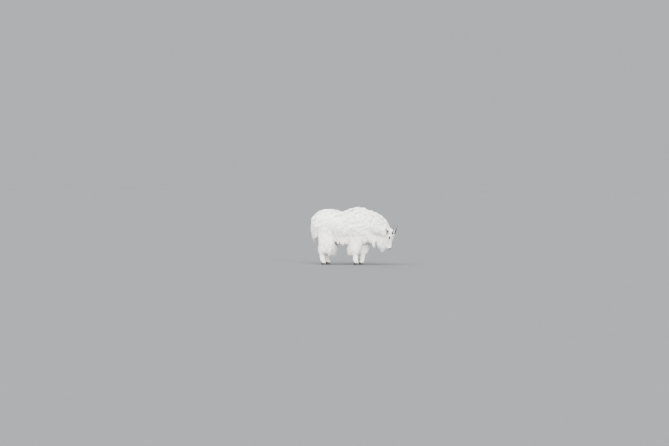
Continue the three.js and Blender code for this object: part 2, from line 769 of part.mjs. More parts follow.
// Thin cuts part the legs at the elbow and the stifle, then the tail, the head and the neck
const foreCut = { from: -160, to: 262, top: 410 };
const hindCut = { from: -760, to: -262, top: 470 };
const cutWidth = 300;
const regions = {};
for (const [name, { side, rows }] of Object.entries(legs)) {
  const { from, to, top } = rows === foreRows ? foreCut : hindCut;
  const middle = [(from + to) / 2, side * (cutWidth + gap) / 2, top / 2 - 10];
  regions[name] = region(middle, [to - from, cutWidth, top + 20]);
}
regions.tail = region([-747, 0, 620], [150, 90, 360]);
regions.head = beyond(548, -50, 540, 26.6, [400, 500, 700]);
regions.neck = beyond(310, 0, 680, 9.9, [500, 600, 1100]);
for (const [name, { inner, outer }] of Object.entries(regions)) {
  node(name, whole.intersect(inner), "coat");
  whole = whole.subtract(outer);
}
node("torso", whole, "coat");

// The origin is the middle of the floor under the whole animal
const reach = new THREE.Box3().setFromObject(goat);
goat.position.set(-(reach.min.x + reach.max.x) / 2, -(reach.min.y + reach.max.y) / 2, -reach.min.z);

export default goat;
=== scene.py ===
import math
import bpy
import bmesh
import numpy as np
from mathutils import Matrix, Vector
from mathutils.bvhtree import BVHTree
from mathutils.kdtree import KDTree


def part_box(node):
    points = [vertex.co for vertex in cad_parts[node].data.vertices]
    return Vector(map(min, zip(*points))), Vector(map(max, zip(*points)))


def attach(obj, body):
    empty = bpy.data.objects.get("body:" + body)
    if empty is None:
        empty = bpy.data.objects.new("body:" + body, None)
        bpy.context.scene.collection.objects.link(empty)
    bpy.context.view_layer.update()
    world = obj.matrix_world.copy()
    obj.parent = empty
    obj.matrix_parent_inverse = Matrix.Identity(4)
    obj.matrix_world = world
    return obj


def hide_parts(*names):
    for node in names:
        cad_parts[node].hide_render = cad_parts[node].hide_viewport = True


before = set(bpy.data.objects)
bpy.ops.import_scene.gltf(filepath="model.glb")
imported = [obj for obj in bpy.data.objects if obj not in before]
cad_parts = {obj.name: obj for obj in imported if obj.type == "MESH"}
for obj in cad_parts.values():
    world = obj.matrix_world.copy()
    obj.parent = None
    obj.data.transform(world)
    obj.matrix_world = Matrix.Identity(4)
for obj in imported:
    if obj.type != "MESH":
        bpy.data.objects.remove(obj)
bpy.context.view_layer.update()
mm = 0.001
scene = bpy.context.scene
rng = np.random.default_rng(4171)


# Small helpers for arrays of points

def unit(v):
    return v / np.maximum(np.linalg.norm(v, axis=-1, keepdims=True), 1e-9)


def mix(a, b, t):
    return a + (b - a) * t


def smooth(x, low, high):  # 0 below low, 1 above high, eased between
    t = np.clip((np.asarray(x, float) - low) / (high - low), 0, 1)
    return t * t * (3 - 2 * t)


def spread(rows, at):  # smooth values between the stations of a table, by its first column
    rows = np.array(rows, float)
    at = np.clip(np.atleast_1d(np.asarray(at, float)), rows[0, 0], rows[-1, 0])
    i = np.clip(np.searchsorted(rows[:, 0], at, side="right") - 1, 0, len(rows) - 2)
    before, last = np.maximum(i - 1, 0), np.minimum(i + 2, len(rows) - 1)
    span = (rows[i + 1, 0] - rows[i, 0])[:, None]
    t = (at - rows[i, 0])[:, None] / span
    leave = (rows[i + 1] - rows[before]) / (rows[i + 1, 0] - rows[before, 0])[:, None] * span
    arrive = (rows[last] - rows[i]) / (rows[last, 0] - rows[i, 0])[:, None] * span
    ease = 3 * t**2 - 2 * t**3
    bend = leave * (t**3 - 2 * t**2 + t) + arrive * (t**3 - t**2)
    return rows[i] * (1 - ease) + rows[i + 1] * ease + bend


def columns(rows, at):  # a table's columns at those places, without its first
    return (column[:, None] for column in spread(rows, at).T[1:])


def shaped(value, power):  # a power that keeps the sign
    return np.sign(value) * np.abs(value) ** power


def wayRound(count):  # turns round a loft, 0 at its top or its front
    return np.linspace(-math.pi, math.pi, count, endpoint=False)[None, :]


def fullTurn(count):
    return np.linspace(0, 2 * math.pi, count, endpoint=False)


def share(turn):  # how far round a turn lies, from 0 to 1
    return (turn + math.pi) / (2 * math.pi)


def boxMiddle(name):
    low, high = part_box(name)
    return (np.array(low) + np.array(high)) / 2


# The body in millimetres, by the same stations as its solids
torsoRows = [  # x, back, belly, half width; the coat's depth above, beside and below
    [-655, 765, 610, 62, 44, 44, 40],
    [-615, 815, 545, 106, 46, 46, 45],
    [-560, 852, 512, 134, 48, 46, 50],
    [-450, 890, 500, 150, 50, 44, 60],
    [-350, 886, 485, 151, 50, 44, 80],
    [-250, 862, 462, 152, 48, 42, 105],
    [-150, 838, 442, 156, 52, 42, 110],
    [-60, 862, 434, 156, 72, 46, 85],
    [50, 896, 430, 150, 78, 54, 60],
    [130, 902, 430, 146, 76, 58, 60],
    [220, 884, 445, 134, 72, 60, 75],
    [300, 850, 490, 108, 70, 62, 95],
    [360, 800, 560, 78, 66, 60, 95],
]
neckRows = [  # share, x, y, z, above, below, half width; the coat's depth above and beside
    [0, 220, 0, 690, 165, 170, 128, 60, 50],
    [0.25, 320, -3, 672, 150, 150, 116, 66, 56],
    [0.5, 412, -14, 640, 122, 122, 95, 74, 58],
    [0.75, 500, -32, 590, 96, 98, 76, 66, 52],
    [1, 578, -46, 530, 72, 70, 60, 34, 30],
]
headLength = 308
headRows = [  # along, in front, behind, half width; the coat's depth
    [-24, 4, 30, 22, 14],
    [8, 38, 70, 50, 14],
    [45, 50, 90, 57, 12],
    [78, 54, 98, 62, 9],
    [112, 48, 92, 62, 8],
    [150, 40, 80, 50, 8],
    [190, 34, 66, 40, 7],
    [230, 31, 54, 34, 6],
    [265, 29, 45, 34, 5],
    [290, 22, 37, 31, 3],
    [headLength, 9, 22, 20, 2],
]
foreRows = [  # share, ahead, behind, half width; the coat's depth ahead, behind and beside
    [0, 75, 75, 45, 20, 20, 20],
    [0.25, 48, 62, 42, 35, 95, 36],
    [0.38, 38, 42, 36, 36, 110, 42],
    [0.5, 34, 32, 32, 28, 105, 36],
    [0.58, 29, 29, 28, 22, 66, 26],
    [0.66, 28, 28, 27, 20, 20, 20],
    [0.75, 30, 33, 30, 18, 18, 16],
    [0.88, 28, 28, 29, 16, 16, 14],
    [1, 36, 30, 34, 8, 8, 6],
]
hindRows = [  # the same
    [0, 95, 90, 60, 20, 20, 20],
    [0.25, 76, 132, 62, 46, 50, 45],
    [0.38, 50, 70, 46, 110, 56, 48],
    [0.48, 36, 44, 36, 130, 34, 36],
    [0.56, 30, 34, 30, 70, 24, 26],
    [0.64, 28, 30, 28, 20, 20, 20],
    [0.75, 31, 34, 31, 18, 18, 16],
    [0.88, 28, 28, 29, 16, 16, 14],
    [1, 36, 30, 34, 8, 8, 6],
]
legSpacing = 86
legs = {  # side, table, and the joints' x and z from the shoulder or hip down
    "foreleg_right": (-1, foreRows, [[150, 620], [80, 430], [44, 262], [50, 95], [60, 40]]),
    "foreleg_left": (1, foreRows, [[185, 620], [180, 430], [166, 262], [130, 95], [122, 40]]),
    "hindleg_right": (-1, hindRows, [[-520, 690], [-418, 490], [-517, 285], [-503, 95], [-488, 40]]),
    "hindleg_left": (1, hindRows, [[-500, 690], [-390, 490], [-498, 285], [-463, 95], [-436, 40]]),
}
tailRows = [  # share, x, z, half width; the coat's depth
    [0, -600, 775, 34, 20],
    [0.35, -672, 742, 24, 24],
    [0.65, -694, 668, 18, 26],
    [1, -690, 575, 8, 22],
]

# The head's axes and place come from the eyes in the frame
headLean = math.radians(5)
eyeSpot = {"along": 112, "front": 16, "radius": 16}
eyeRight, eyeLeft = boxMiddle("eye_right") / mm, boxMiddle("eye_left") / mm
upright = np.array([0, 0, 1.0])
leftAxis = unit(eyeLeft - eyeRight)
forwardAxis = unit(np.cross(leftAxis, upright))
downAxis = -math.sin(headLean) * forwardAxis - math.cos(headLean) * upright
frontAxis = math.cos(headLean) * forwardAxis - math.sin(headLean) * upright
poll = (eyeRight + eyeLeft) / 2 - eyeSpot["along"] * downAxis - eyeSpot["front"] * frontAxis
tablePoll = np.array([630.0, -50.0, 570.0])
shift = poll - tablePoll  # of the frame's origin from the tables' own


def inHead(along, ahead, aside):  # a place in the head, in millimetres of the frame
    along, ahead, aside = (np.asarray(v, float)[..., None] for v in (along, ahead, aside))
    return poll + along * downAxis + ahead * frontAxis + aside * leftAxis


def headPlace(points):  # the other way: along, ahead and aside of points in millimetres
    fromPoll = points - poll
    return fromPoll @ downAxis, fromPoll @ frontAxis, fromPoll @ leftAxis


# The camera has the photo's place: level, far off, a little ahead of the animal's right side
cameraPlace = {"azimuth": 10.0, "elevation": 1.5, "distance": 40.0, "widthAtGoat": 11.1,
               "aside": -0.315, "height": 0.694, "sensor": 36, "farthest": 200}


def makeCamera():
    turn, rise = math.radians(cameraPlace["azimuth"]), math.radians(cameraPlace["elevation"])
    back = Vector((math.sin(turn) * math.cos(rise), -math.cos(turn) * math.cos(rise), math.sin(rise)))
    side = Vector((math.cos(turn), math.sin(turn), 0))
    aim = Vector((shift[0] * mm, shift[1] * mm, cameraPlace["height"])) + side * cameraPlace["aside"]
    data = bpy.data.cameras.new("camera")
    data.sensor_width = cameraPlace["sensor"]
    data.lens = data.sensor_width * cameraPlace["distance"] / cameraPlace["widthAtGoat"]
    data.clip_end = cameraPlace["farthest"]
    camera = bpy.data.objects.new("camera", data)
    camera.location = aim + back * cameraPlace["distance"]
    camera.rotation_euler = (-back).to_track_quat("-Z", "Y").to_euler()
    scene.collection.objects.link(camera)
    scene.camera = camera


makeCamera()
print("camera placed")


# Meshes from arrays

def meshFrom(name, points, faces, material=None):
    mesh = bpy.data.meshes.new(name)
    points = np.ascontiguousarray(points, dtype=np.float32)
    faces = np.asarray(faces, dtype=np.int32)
    mesh.vertices.add(len(points))
    mesh.vertices.foreach_set("co", points.ravel())
    mesh.loops.add(faces.size)
    mesh.loops.foreach_set("vertex_index", faces.ravel())
    mesh.polygons.add(len(faces))
    mesh.polygons.foreach_set("loop_start", np.arange(len(faces), dtype=np.int32) * faces.shape[1])
    mesh.polygons.foreach_set("use_smooth", np.ones(len(faces), dtype=bool))
    mesh.update(calc_edges=True)
    piece = bpy.data.objects.new(name, mesh)
    scene.collection.objects.link(piece)
    if material:
        mesh.materials.append(material)
    return piece


def applied(piece):  # the mesh that a piece's modifiers make of it; the piece itself goes
    mesh = bpy.data.meshes.new_from_object(piece.evaluated_get(bpy.context.evaluated_depsgraph_get()))
    piece.modifiers.clear()
    bpy.data.objects.remove(piece)
    return mesh


def vectorsOf(rows, key):  # three values a row, read from a mesh
    values = np.empty(len(rows) * 3, np.float32)
    rows.foreach_get(key, values)
    return values.reshape(-1, 3).astype(float)


def trianglesOf(mesh):
    mesh.calc_loop_triangles()
    index = np.empty(len(mesh.loop_triangles) * 3, np.int32)
    mesh.loop_triangles.foreach_get("vertices", index)
    return index.reshape(-1, 3)


def setVectors(mesh, name, values):
    attribute = mesh.attributes.new(name, "FLOAT_VECTOR", "POINT")
    attribute.data.foreach_set("vector", values.astype(np.float32).ravel())


def setColours(mesh, name, values):
    attribute = mesh.attributes.new(name, "FLOAT_COLOR", "POINT")
    rgba = np.ones((len(values), 4), np.float32)
    rgba[:, :values.shape[1]] = values
    attribute.data.foreach_set("color", rgba.ravel())


def finderOf(points):  # finds the nearest of many points
    finder = KDTree(len(points))
    for i, point in enumerate(points):
        finder.insert(point, i)
    finder.balance()
    return finder


def gridFaces(rings, count):  # quads between rings of equal count
    r, i = np.meshgrid(np.arange(rings - 1), np.arange(count), indexing="ij")
    a, b = r * count + i, r * count + (i + 1) % count
    return np.stack([a, b, b + count, a + count], -1).reshape(-1, 4)


def halved(quads):
    return np.concatenate([quads[:, [0, 1, 2]], quads[:, [0, 2, 3]]])


def loftMesh(rings, capStart=None, capEnd=None):  # stations × turns × 3 to triangles, closed at both ends
    stations, count = rings.shape[:2]
    ends = [rings[0].mean(0) if capStart is None else capStart,
            rings[-1].mean(0) if capEnd is None else capEnd]
    points = np.concatenate([rings.reshape(-1, 3), np.array(ends)])
    i = np.arange(count)
    last = (stations - 1) * count
    fans = [np.stack([np.full(count, len(points) - 2), (i + 1) % count, i], -1),
            np.stack([np.full(count, len(points) - 1), last + i, last + (i + 1) % count], -1)]
    tris = np.concatenate([halved(gridFaces(stations, count))] + fans)
    v = points[tris]
    if np.einsum("ij,ij->i", v[:, 0], np.cross(v[:, 1], v[:, 2])).sum() < 0:  # inside out
        tris = tris[:, ::-1]
    return points, tris


def joinMeshes(parts):  # one array of points and faces from several
    points, faces, offset = [], [], 0
    for p, f in parts:
        points.append(p)
        faces.append(f + offset)
        offset += len(p)
    return np.concatenate(points), np.concatenate(faces)


def ball(centre, axes, radii, rings=14, count=20, poleGap=0.12):
    turn = fullTurn(count)
    tilt = np.linspace(poleGap, math.pi - poleGap, rings)[:, None]
    x, y, z = np.sin(tilt) * np.cos(turn), np.sin(tilt) * np.sin(turn), np.cos(tilt) * np.ones(count)
    local = np.stack([x * radii[0], y * radii[1], z * radii[2]], -1)
    return loftMesh(centre + local @ np.array(axes))


# Lofts of the flesh. Each gives its rings, and for every point the coat there:
# depth, hair length, way of lying, how freely it hangs, how stained it is, and its place on the coat's map
atlas = {
    "torso": (0.01, 0.01, 0.58, 0.59),
    "neck": (0.61, 0.01, 0.19, 0.59),
    "head": (0.82, 0.01, 0.17, 0.59),
    "foreleg_right": (0.01, 0.62, 0.19, 0.37),
    "foreleg_left": (0.22, 0.62, 0.19, 0.37),
    "hindleg_right": (0.43, 0.62, 0.19, 0.37),
    "hindleg_left": (0.64, 0.62, 0.19, 0.37),
    "tail": (0.85, 0.62, 0.06, 0.37),
    "ears": (0.93, 0.62, 0.06, 0.37),
}
regionNames = list(atlas)


def onMap(region, s, t):
    u, v, wide, high = atlas[region]
    return np.stack([u + wide * s, v + high * t], -1)


def coatRow(region, rings, depth, length, flow, hang, s, t, tint=0.0):
    shape = rings.shape[:2]
    full = lambda v: np.broadcast_to(np.asarray(v, float), shape).ravel()
    return {"place": rings.reshape(-1, 3), "depth": full(depth), "length": full(length), "hang": full(hang),
            "flow": unit(np.broadcast_to(flow, rings.shape).reshape(-1, 3)), "tint": full(tint),
            "region": np.full(rings.shape[0] * rings.shape[1], regionNames.index(region)),
            "map": onMap(region, full(s), full(t)).reshape(-1, 2)}


torsoHair = {"back": 92, "flank": 108, "hump": 14, "fringe": (60, 170), "rump": (90, 225), "rumpHem": 405}


def torsoLoft(stations=90, count=72):
    x, turn = np.linspace(torsoRows[0][0], torsoRows[-1][0], stations), wayRound(count)
    top, low, half, above, beside, below = columns(torsoRows, x)
    x = x[:, None]
    middle = low + 0.5 * (top - low)
    up = np.cos(turn)
    y = half * np.where(up > 0, shaped(np.sin(turn), 1.2), shaped(np.sin(turn), 0.85))
    z = middle + np.where(up > 0, (top - middle) * up, (middle - low) * up)
    rings = np.stack([np.broadcast_to(x, y.shape), y, z], -1)
    away, side = np.abs(turn) + 0 * x, np.sign(turn)
    lower, belly = smooth(away, 0.2, 1.9), smooth(away, 1.75, 2.5)
    rump = smooth(-x, 560, 640)
    overhang = rump * smooth(away, 0.9, 1.6)  # the rump's hair hangs clear of the thighs
    flow = np.stack([-1 + 0.72 * lower, side * 0.35 * (1 - lower), -0.25 - 0.8 * lower], -1)
    falling = np.stack([-0.17 + 0 * lower, side * 0.13 + 0 * lower, -1 + 0 * lower], -1)
    flow = mix(unit(flow), unit(falling), (0.8 * rump * smooth(away, 0.3, 1.0))[..., None])
    depth = mix(mix(above, beside, lower), beside * 0.8, belly)
    fringe = np.clip(z - (low - 0.9 * below), *torsoHair["fringe"])  # it ends on the fringe's own line
    length = mix(mix(torsoHair["back"], torsoHair["flank"], lower), fringe, belly)
    length = length + torsoHair["hump"] * smooth(x, -40, 60) * (1 - lower)
    length = mix(length, np.clip(z - torsoHair["rumpHem"], *torsoHair["rump"]), overhang)
    hang = np.clip(belly + 0.25 * rump + 0.45 * overhang, 0, 1)
    tint = 0.25 * rump + 0.45 * overhang + 0.5 * belly
    s = (x - x[0]) / (x[-1] - x[0])
    return rings, coatRow("torso", rings, depth, length, flow, hang, s, share(turn), tint)


throatHem = ([240, 319, 373, 394, 408, 430, 480, 520], [225, 282, 350, 380, 262, 236, 284, 296])  # x, z
neckHair = {"crest": 105, "ruff": 150, "throat": (60, 250), "hemAhead": 24, "hemAbove": 25, "tint": 0.2}


def neckLoft(stations=44, count=60):
    s, turn = np.linspace(0, 1, stations), wayRound(count)
    x, y, z, above, below, half, coatAbove, coatBeside = columns(neckRows, s)
    s = s[:, None]
    centre = np.concatenate([x, y, z], -1)
    travel = unit(np.gradient(centre, axis=0))
    side = unit(np.cross(upright, travel))
    crest = np.cross(travel, side)
    up = np.cos(turn)
    deep = np.where(up > 0, above, below) * up
    rings = centre[:, None] + crest[:, None] * deep[..., None]
    rings = rings + side[:, None] * (half * np.sin(turn))[..., None]
    away = np.abs(turn) + 0 * s
    lower, throat = smooth(away, 0.1, 1.6), smooth(away, 1.5, 2.5)
    flow = np.stack([-0.9 + 0.6 * lower, 0 * lower, 0.25 - 1.35 * lower], -1)
    flow = mix(unit(flow), np.array([-0.12, 0, -1.0]), throat[..., None])
    depth = mix(mix(coatAbove, coatBeside, lower), coatBeside * 0.9, throat)
    hem = np.interp(rings[..., 0] - neckHair["hemAhead"], *throatHem)  # where ruff and throat hair end
    lying = mix(neckHair["crest"], neckHair["ruff"], smooth(away, 0.8, 1.9)) * (1 - 0.25 * s)
    hanging = np.clip(rings[..., 2] - hem - neckHair["hemAbove"], *neckHair["throat"])
    length, tint = mix(lying, hanging, throat), neckHair["tint"] * throat
    return rings, coatRow("neck", rings, depth, length, flow, throat, s, share(turn), tint)


headHair = {"poll": 24, "face": 8.5, "jaw": 34, "beard": (246, 94), "forelock": 34}
headHairDepth = {"jaw": 6, "beard": 15, "forelock": 22}


def headLoft(stations=110, count=72):
    along, turn = np.linspace(headRows[0][0], headLength, stations), wayRound(count)
    ahead, behind, half, coatDepth = columns(headRows, along)
    up = np.cos(turn)
    deep = np.where(up > 0, ahead, behind) * up
    wide = half * np.where(up > 0, np.sin(turn), shaped(np.sin(turn), 1.15))
    a, away, side = along[:, None] + 0 * up, np.abs(turn) + 0 * along[:, None], np.sign(turn)
    rings = inHead(a, deep, wide) - shift
    jaw, nearJaw = smooth(away, 1.7, 2.4), smooth(170 - a, 0, 60)
    beard = smooth(away, 1.7, 2.15) * smooth(a, 55, 95) * (1 - smooth(a, 262, 284))
    chin = smooth(a, 110, 262)
    crown = np.exp(-((a - 40) / 26) ** 2) * smooth(up, 0.35, 0.9)  # the forelock between the horns
    face = -downAxis + np.zeros(rings.shape) - frontAxis * (0.35 * (1 - up))[..., None]
    cheek = unit(-frontAxis + 0.25 * downAxis)
    sweep = np.stack([mix(-0.44, -0.72, chin), -0.06 * side + 0 * a, mix(-0.95, -0.58, chin)], -1)
    flow = mix(unit(face), cheek, (smooth(away, 0.9, 1.9) * nearJaw)[..., None])
    flow = mix(flow, unit(sweep), np.maximum(beard, 0.6 * jaw * nearJaw)[..., None])
    flow = mix(flow, unit(-0.9 * downAxis + 0.55 * frontAxis), (0.75 * crown)[..., None])
    length = mix(headHair["poll"], headHair["face"], smooth(a, -10, 150))
    length = length + headHair["jaw"] * jaw * smooth(190 - a, 0, 90)
    length = mix(length, mix(*headHair["beard"], chin) * mix(0.6, 1.0, smooth(away, 1.9, 2.6)), beard)
    length = length + headHair["forelock"] * crown
    depth = 0.8 * coatDepth + headHairDepth["jaw"] * jaw * smooth(170 - a, 0, 80)
    depth = mix(depth + headHairDepth["forelock"] * crown, headHairDepth["beard"], beard)
    s = (a - along[0]) / (along[-1] - along[0])
    return rings, coatRow("head", rings, depth, length, flow, beard, s, share(turn))


def legPath(joints, side, count):  # a smooth line through the joints
    y = [side * legSpacing * (0.85 if i == 0 else 1) for i in range(len(joints))]
    points = np.array([[x, y[i], z] for i, (x, z) in enumerate(joints)], float)
    knots = np.linspace(0, 1, len(points))
    return spread(np.column_stack([knots, points]), np.linspace(0, 1, count))[:, 1:]


chapHair = {  # at the front and the rear of the upper leg: how long it is, and how far it leans ahead
    "foreleg_right": {"length": (170, 240), "lean": (0.06, -1.45)},
    "foreleg_left": {"length": (170, 240), "lean": (0.24, -0.8)},
    "hindleg_right": {"length": (238, 190), "lean": (0.56, -0.14)},
    "hindleg_left": {"length": (238, 190), "lean": (0.56, -0.14)},
}
shankHair = {"length": (44, 20), "depth": (18, 15)}  # under the chaps and at the hoof


def legLoft(name, stations=100, count=40):
    side, rows, joints = legs[name]
    s, turn = np.linspace(0, 1, stations), wayRound(count)
    ahead, behind, half, coatAhead, coatBehind, coatBeside = columns(rows, s)
    path = legPath(joints, side, stations)
    travel = unit(np.gradient(path, axis=0))
    fore = unit(np.stack([-travel[:, 2], 0 * s, travel[:, 0]], -1))
    fore = unit(mix(fore, np.array([1.0, 0, 0]), smooth(s, 0.3, 0.5)[:, None]))
    up = np.cos(turn)
    deep = np.where(up > 0, ahead, behind) * up
    rings = path[:, None] + fore[:, None] * deep[..., None]
    rings[..., 1] += half * np.sin(turn)
    away, station = np.abs(turn) + 0 * s[:, None], s[:, None] + 0 * turn
    rear = 0.5 - 0.5 * up
    lower = smooth(station, 0.46, 0.6)
    depth = mix(coatBeside, mix(coatAhead, coatBehind, smooth(away, 1.2, 1.9)), np.abs(up)) * 0.92
    depth = mix(depth, mix(*shankHair["depth"], smooth(station, 0.7, 1)), lower)
    chap = mix(*chapHair[name]["length"], rear) * (1 - 0.5 * smooth(station, 0.28, 0.5))
    length = mix(chap, mix(*shankHair["length"], smooth(station, 0.62, 0.97)), lower)
    lean = mix(*chapHair[name]["lean"], rear)
    flow = np.stack([lean * (1 - lower), 0.05 * np.sin(turn) + 0 * station, -1 + 0 * station], -1)
    outward = np.stack([up + 0 * station, np.sin(turn) + 0 * station, 0 * station], -1)
    flow = flow + 0.12 * lower[..., None] * outward
    hang, tint = 0.9 * (1 - lower), 0.3 + 0.4 * lower
    return rings, coatRow(name, rings, depth, length, flow, hang, station, share(turn), tint)


tailHair = {"length": 165, "hang": 0.8, "tint": 0.7}


def tailLoft(stations=24, count=24):
    s, turn = np.linspace(0, 1, stations), wayRound(count)
    x, z, half, coatDepth = columns(tailRows, s)
    path = np.concatenate([x, 0 * x, z], -1)
    travel = unit(np.gradient(path, axis=0))
    rise = np.stack([-travel[:, 2], 0 * s, travel[:, 0]], -1)
    rings = path[:, None] + rise[:, None] * (half * 0.8 * np.cos(turn))[..., None]
    rings[..., 1] += half * 1.15 * np.sin(turn)
    flow = travel[:, None] * 0.4 - upright + 0 * rings
    flow[..., 1] += 0.12 * np.sin(turn)
    return rings, coatRow("tail", rings, coatDepth * 0.8, tailHair["length"], flow, tailHair["hang"],
                          s[:, None], share(turn), tailHair["tint"])


lofts = {"torso": torsoLoft(), "neck": neckLoft(), "head": headLoft(), "tail": tailLoft()}
lofts.update({name: legLoft(name) for name in legs})
coatRows = [row for _, row in lofts.values()]
coat = {key: np.concatenate([row[key] for row in coatRows]) for key in coatRows[0]}
coat["place"] = (coat["place"] + shift) * mm
print("flesh lofted", len(coat["place"]), "stations")


# One skin: the lofts fused, smoothed where they meet, and the head worked finer than the body
skinShape = {"bodyVoxel": 0.0085, "headVoxel": 0.0028, "bodySmooth": 14, "headSmooth": 5,
             "rumpEnd": (-14, 0, 0), "headStart": (-32, -14, 0), "headEnd": (headLength + 4, -6, 0),
             "neckRings": 16}
headAxes = [downAxis, leftAxis, frontAxis]
headSwells = [  # what swells on each side of the head: its place along, ahead and aside, and its radii
    ((96, 26, 47), (22, 15, 13)),  # brow over the eye
    ((140, -34, 33), (58, 19, 34)),  # cheek
    ((283, 6, 15), (20, 14, 16)),  # nostril's wing
    ((292, -16, 11), (14, 16, 13)),  # lip
    ((71, 44, 27), (20, 19, 15)),  # horn's boss
]
chin = ((290, -32, 0), (16, 19, 12))


def inTable(along, ahead, aside):  # a place in the head in the tables' own frame
    return inHead(along, ahead, aside) - shift


def fused(name, parts, voxel, rounds):
    points, faces = joinMeshes([((p + shift) * mm, f) for p, f in parts])
    piece = meshFrom(name, points, faces)
    remesh = piece.modifiers.new("fuse", "REMESH")
    remesh.mode = "VOXEL"
    remesh.voxel_size = voxel
    relax = piece.modifiers.new("relax", "SMOOTH")
    relax.factor = 0.5
    relax.iterations = rounds
    return applied(piece)


def fuseBody():
    parts = [loftMesh(rings) for name, (rings, _) in lofts.items() if name not in ("head", "torso")]
    torso = lofts["torso"][0]
    parts.append(loftMesh(torso, capStart=torso[0].mean(0) + np.array(skinShape["rumpEnd"])))
    return fused("bodyShape", parts, skinShape["bodyVoxel"], skinShape["bodySmooth"])


def fuseHead():
    ends = [inTable(*skinShape[end]) for end in ("headStart", "headEnd")]
    parts = [loftMesh(lofts["head"][0], *ends), loftMesh(lofts["neck"][0][-skinShape["neckRings"]:])]
    swells = [(side, *swell) for side in (-1, 1) for swell in headSwells] + [(1, *chin)]
    for side, (along, ahead, aside), radii in swells:
        parts.append(ball(inTable(along, ahead, side * aside), headAxes, radii))
    return fused("headShape", parts, skinShape["headVoxel"], skinShape["headSmooth"])


bodyShape, headShape = fuseBody(), fuseHead()

# What is pressed into the fused head or raised on it, by places along and ahead
fineWork = {"roundEye": 34, "mouthFrom": 236}  # where its mesh is made finer
socket = {"depth": 4.0, "within": (15, 26)}
mouth = {"from": 246, "ahead": -16, "rise": 0.13, "corner": (244, 256),
         "folds": [(0, -4.2, 2.0), (6, 1.6, 3.6), (-6.5, 1.2, 3.6)]}  # off its line, lift, width
nostril = {"along": 291, "front": 16, "side": 16, "radii": (9.0, 4.6, 9.5), "slant": (0.25, 0.5),
           "slantAt": 14, "pit": 8.0, "rim": 1.4, "rimAt": 1.35, "rimWidth": 0.3}
cleft = {"depth": 1.8, "width": 1.6, "from": (286, 296), "above": -14}


def mouthLine(along):  # how far ahead the mouth lies at a place along the head
    return mouth["ahead"] + (along - mouth["from"]) * mouth["rise"]


def eyeDistance(places):
    return np.minimum(*(np.linalg.norm(places - eyeAt, axis=1) for eyeAt in (eyeRight, eyeLeft)))


def carving(places):  # how far each place of the head moves outward
    a, b, c = headPlace(places)
    push = np.zeros(len(places))
    for eyeAt in (eyeRight, eyeLeft):
        away = np.linalg.norm(places - eyeAt, axis=1)
        push -= socket["depth"] * (1 - smooth(away, *socket["within"]))
    for off, lift, width in mouth["folds"]:
        fold = np.exp(-((b - mouthLine(a) - off) / width) ** 2)
        push += lift * fold * smooth(a, *mouth["corner"])
    for side in (-1, 1):  # each nostril is a slanting comma with a raised rim
        ahead = b - nostril["front"]
        x = (a - nostril["along"] - nostril["slant"][0] * ahead) / nostril["radii"][0]
        y = (ahead + nostril["slant"][1] * (side * c - nostril["slantAt"])) / nostril["radii"][1]
        z = (side * c - nostril["side"]) / nostril["radii"][2]
        away = x**2 + y**2 + z**2
        push -= nostril["pit"] * np.exp(-away * 1.1)
        push += nostril["rim"] * np.exp(-((np.sqrt(away) - nostril["rimAt"]) / nostril["rimWidth"]) ** 2)
    under = smooth(a, *cleft["from"]) * (b > cleft["above"])
    return push - cleft["depth"] * np.exp(-(c / cleft["width"]) ** 2) * under


def carveHead(mesh):
    work = bmesh.new()
    work.from_mesh(mesh)
    places = np.array([v.co for v in work.verts]) / mm
    near = (eyeDistance(places) < fineWork["roundEye"]) | (headPlace(places)[0] > fineWork["mouthFrom"])
    edges = [e for e in work.edges if near[e.verts[0].index] or near[e.verts[1].index]]
    bmesh.ops.subdivide_edges(work, edges=edges, cuts=1, use_grid_fill=True)
    bmesh.ops.triangulate(work, faces=[f for f in work.faces if len(f.verts) > 4])
    work.normal_update()
    places = np.array([v.co for v in work.verts]) / mm
    normals = np.array([v.normal for v in work.verts])
    for v, place in zip(work.verts, (places + normals * carving(places)[:, None]) * mm):
        v.co = place
    work.to_mesh(mesh)
    work.free()


carveHead(headShape)
print("skin fused", len(bodyShape.vertices), len(headShape.vertices))


# Ears: a leaf bent into a cup, thin at its edge
earShape = {"along": 46, "front": 2, "side": 50, "length": 128, "half": 26, "wall": 3.4, "sink": 16,
            "stations": 44, "arc": 26, "tip": 1.2, "thinnest": 0.4, "curl": 14, "flatness": 0.62,
            "wrap": (165, 104)}  # the cup's half angle in degrees, at the root and above
earHair = {"depth": 4.0, "length": 15}


def earFrame(side):
    reach = unit(leftAxis * side * 0.8 - 0.62 * downAxis - 0.04 * frontAxis)
    opening = frontAxis + leftAxis * side * 0.5
    opening = unit(opening - opening.dot(reach) * reach)
    start = inHead(earShape["along"], earShape["front"], side * earShape["side"]) - reach * earShape["sink"]
    return start, reach, opening, np.cross(reach, opening)


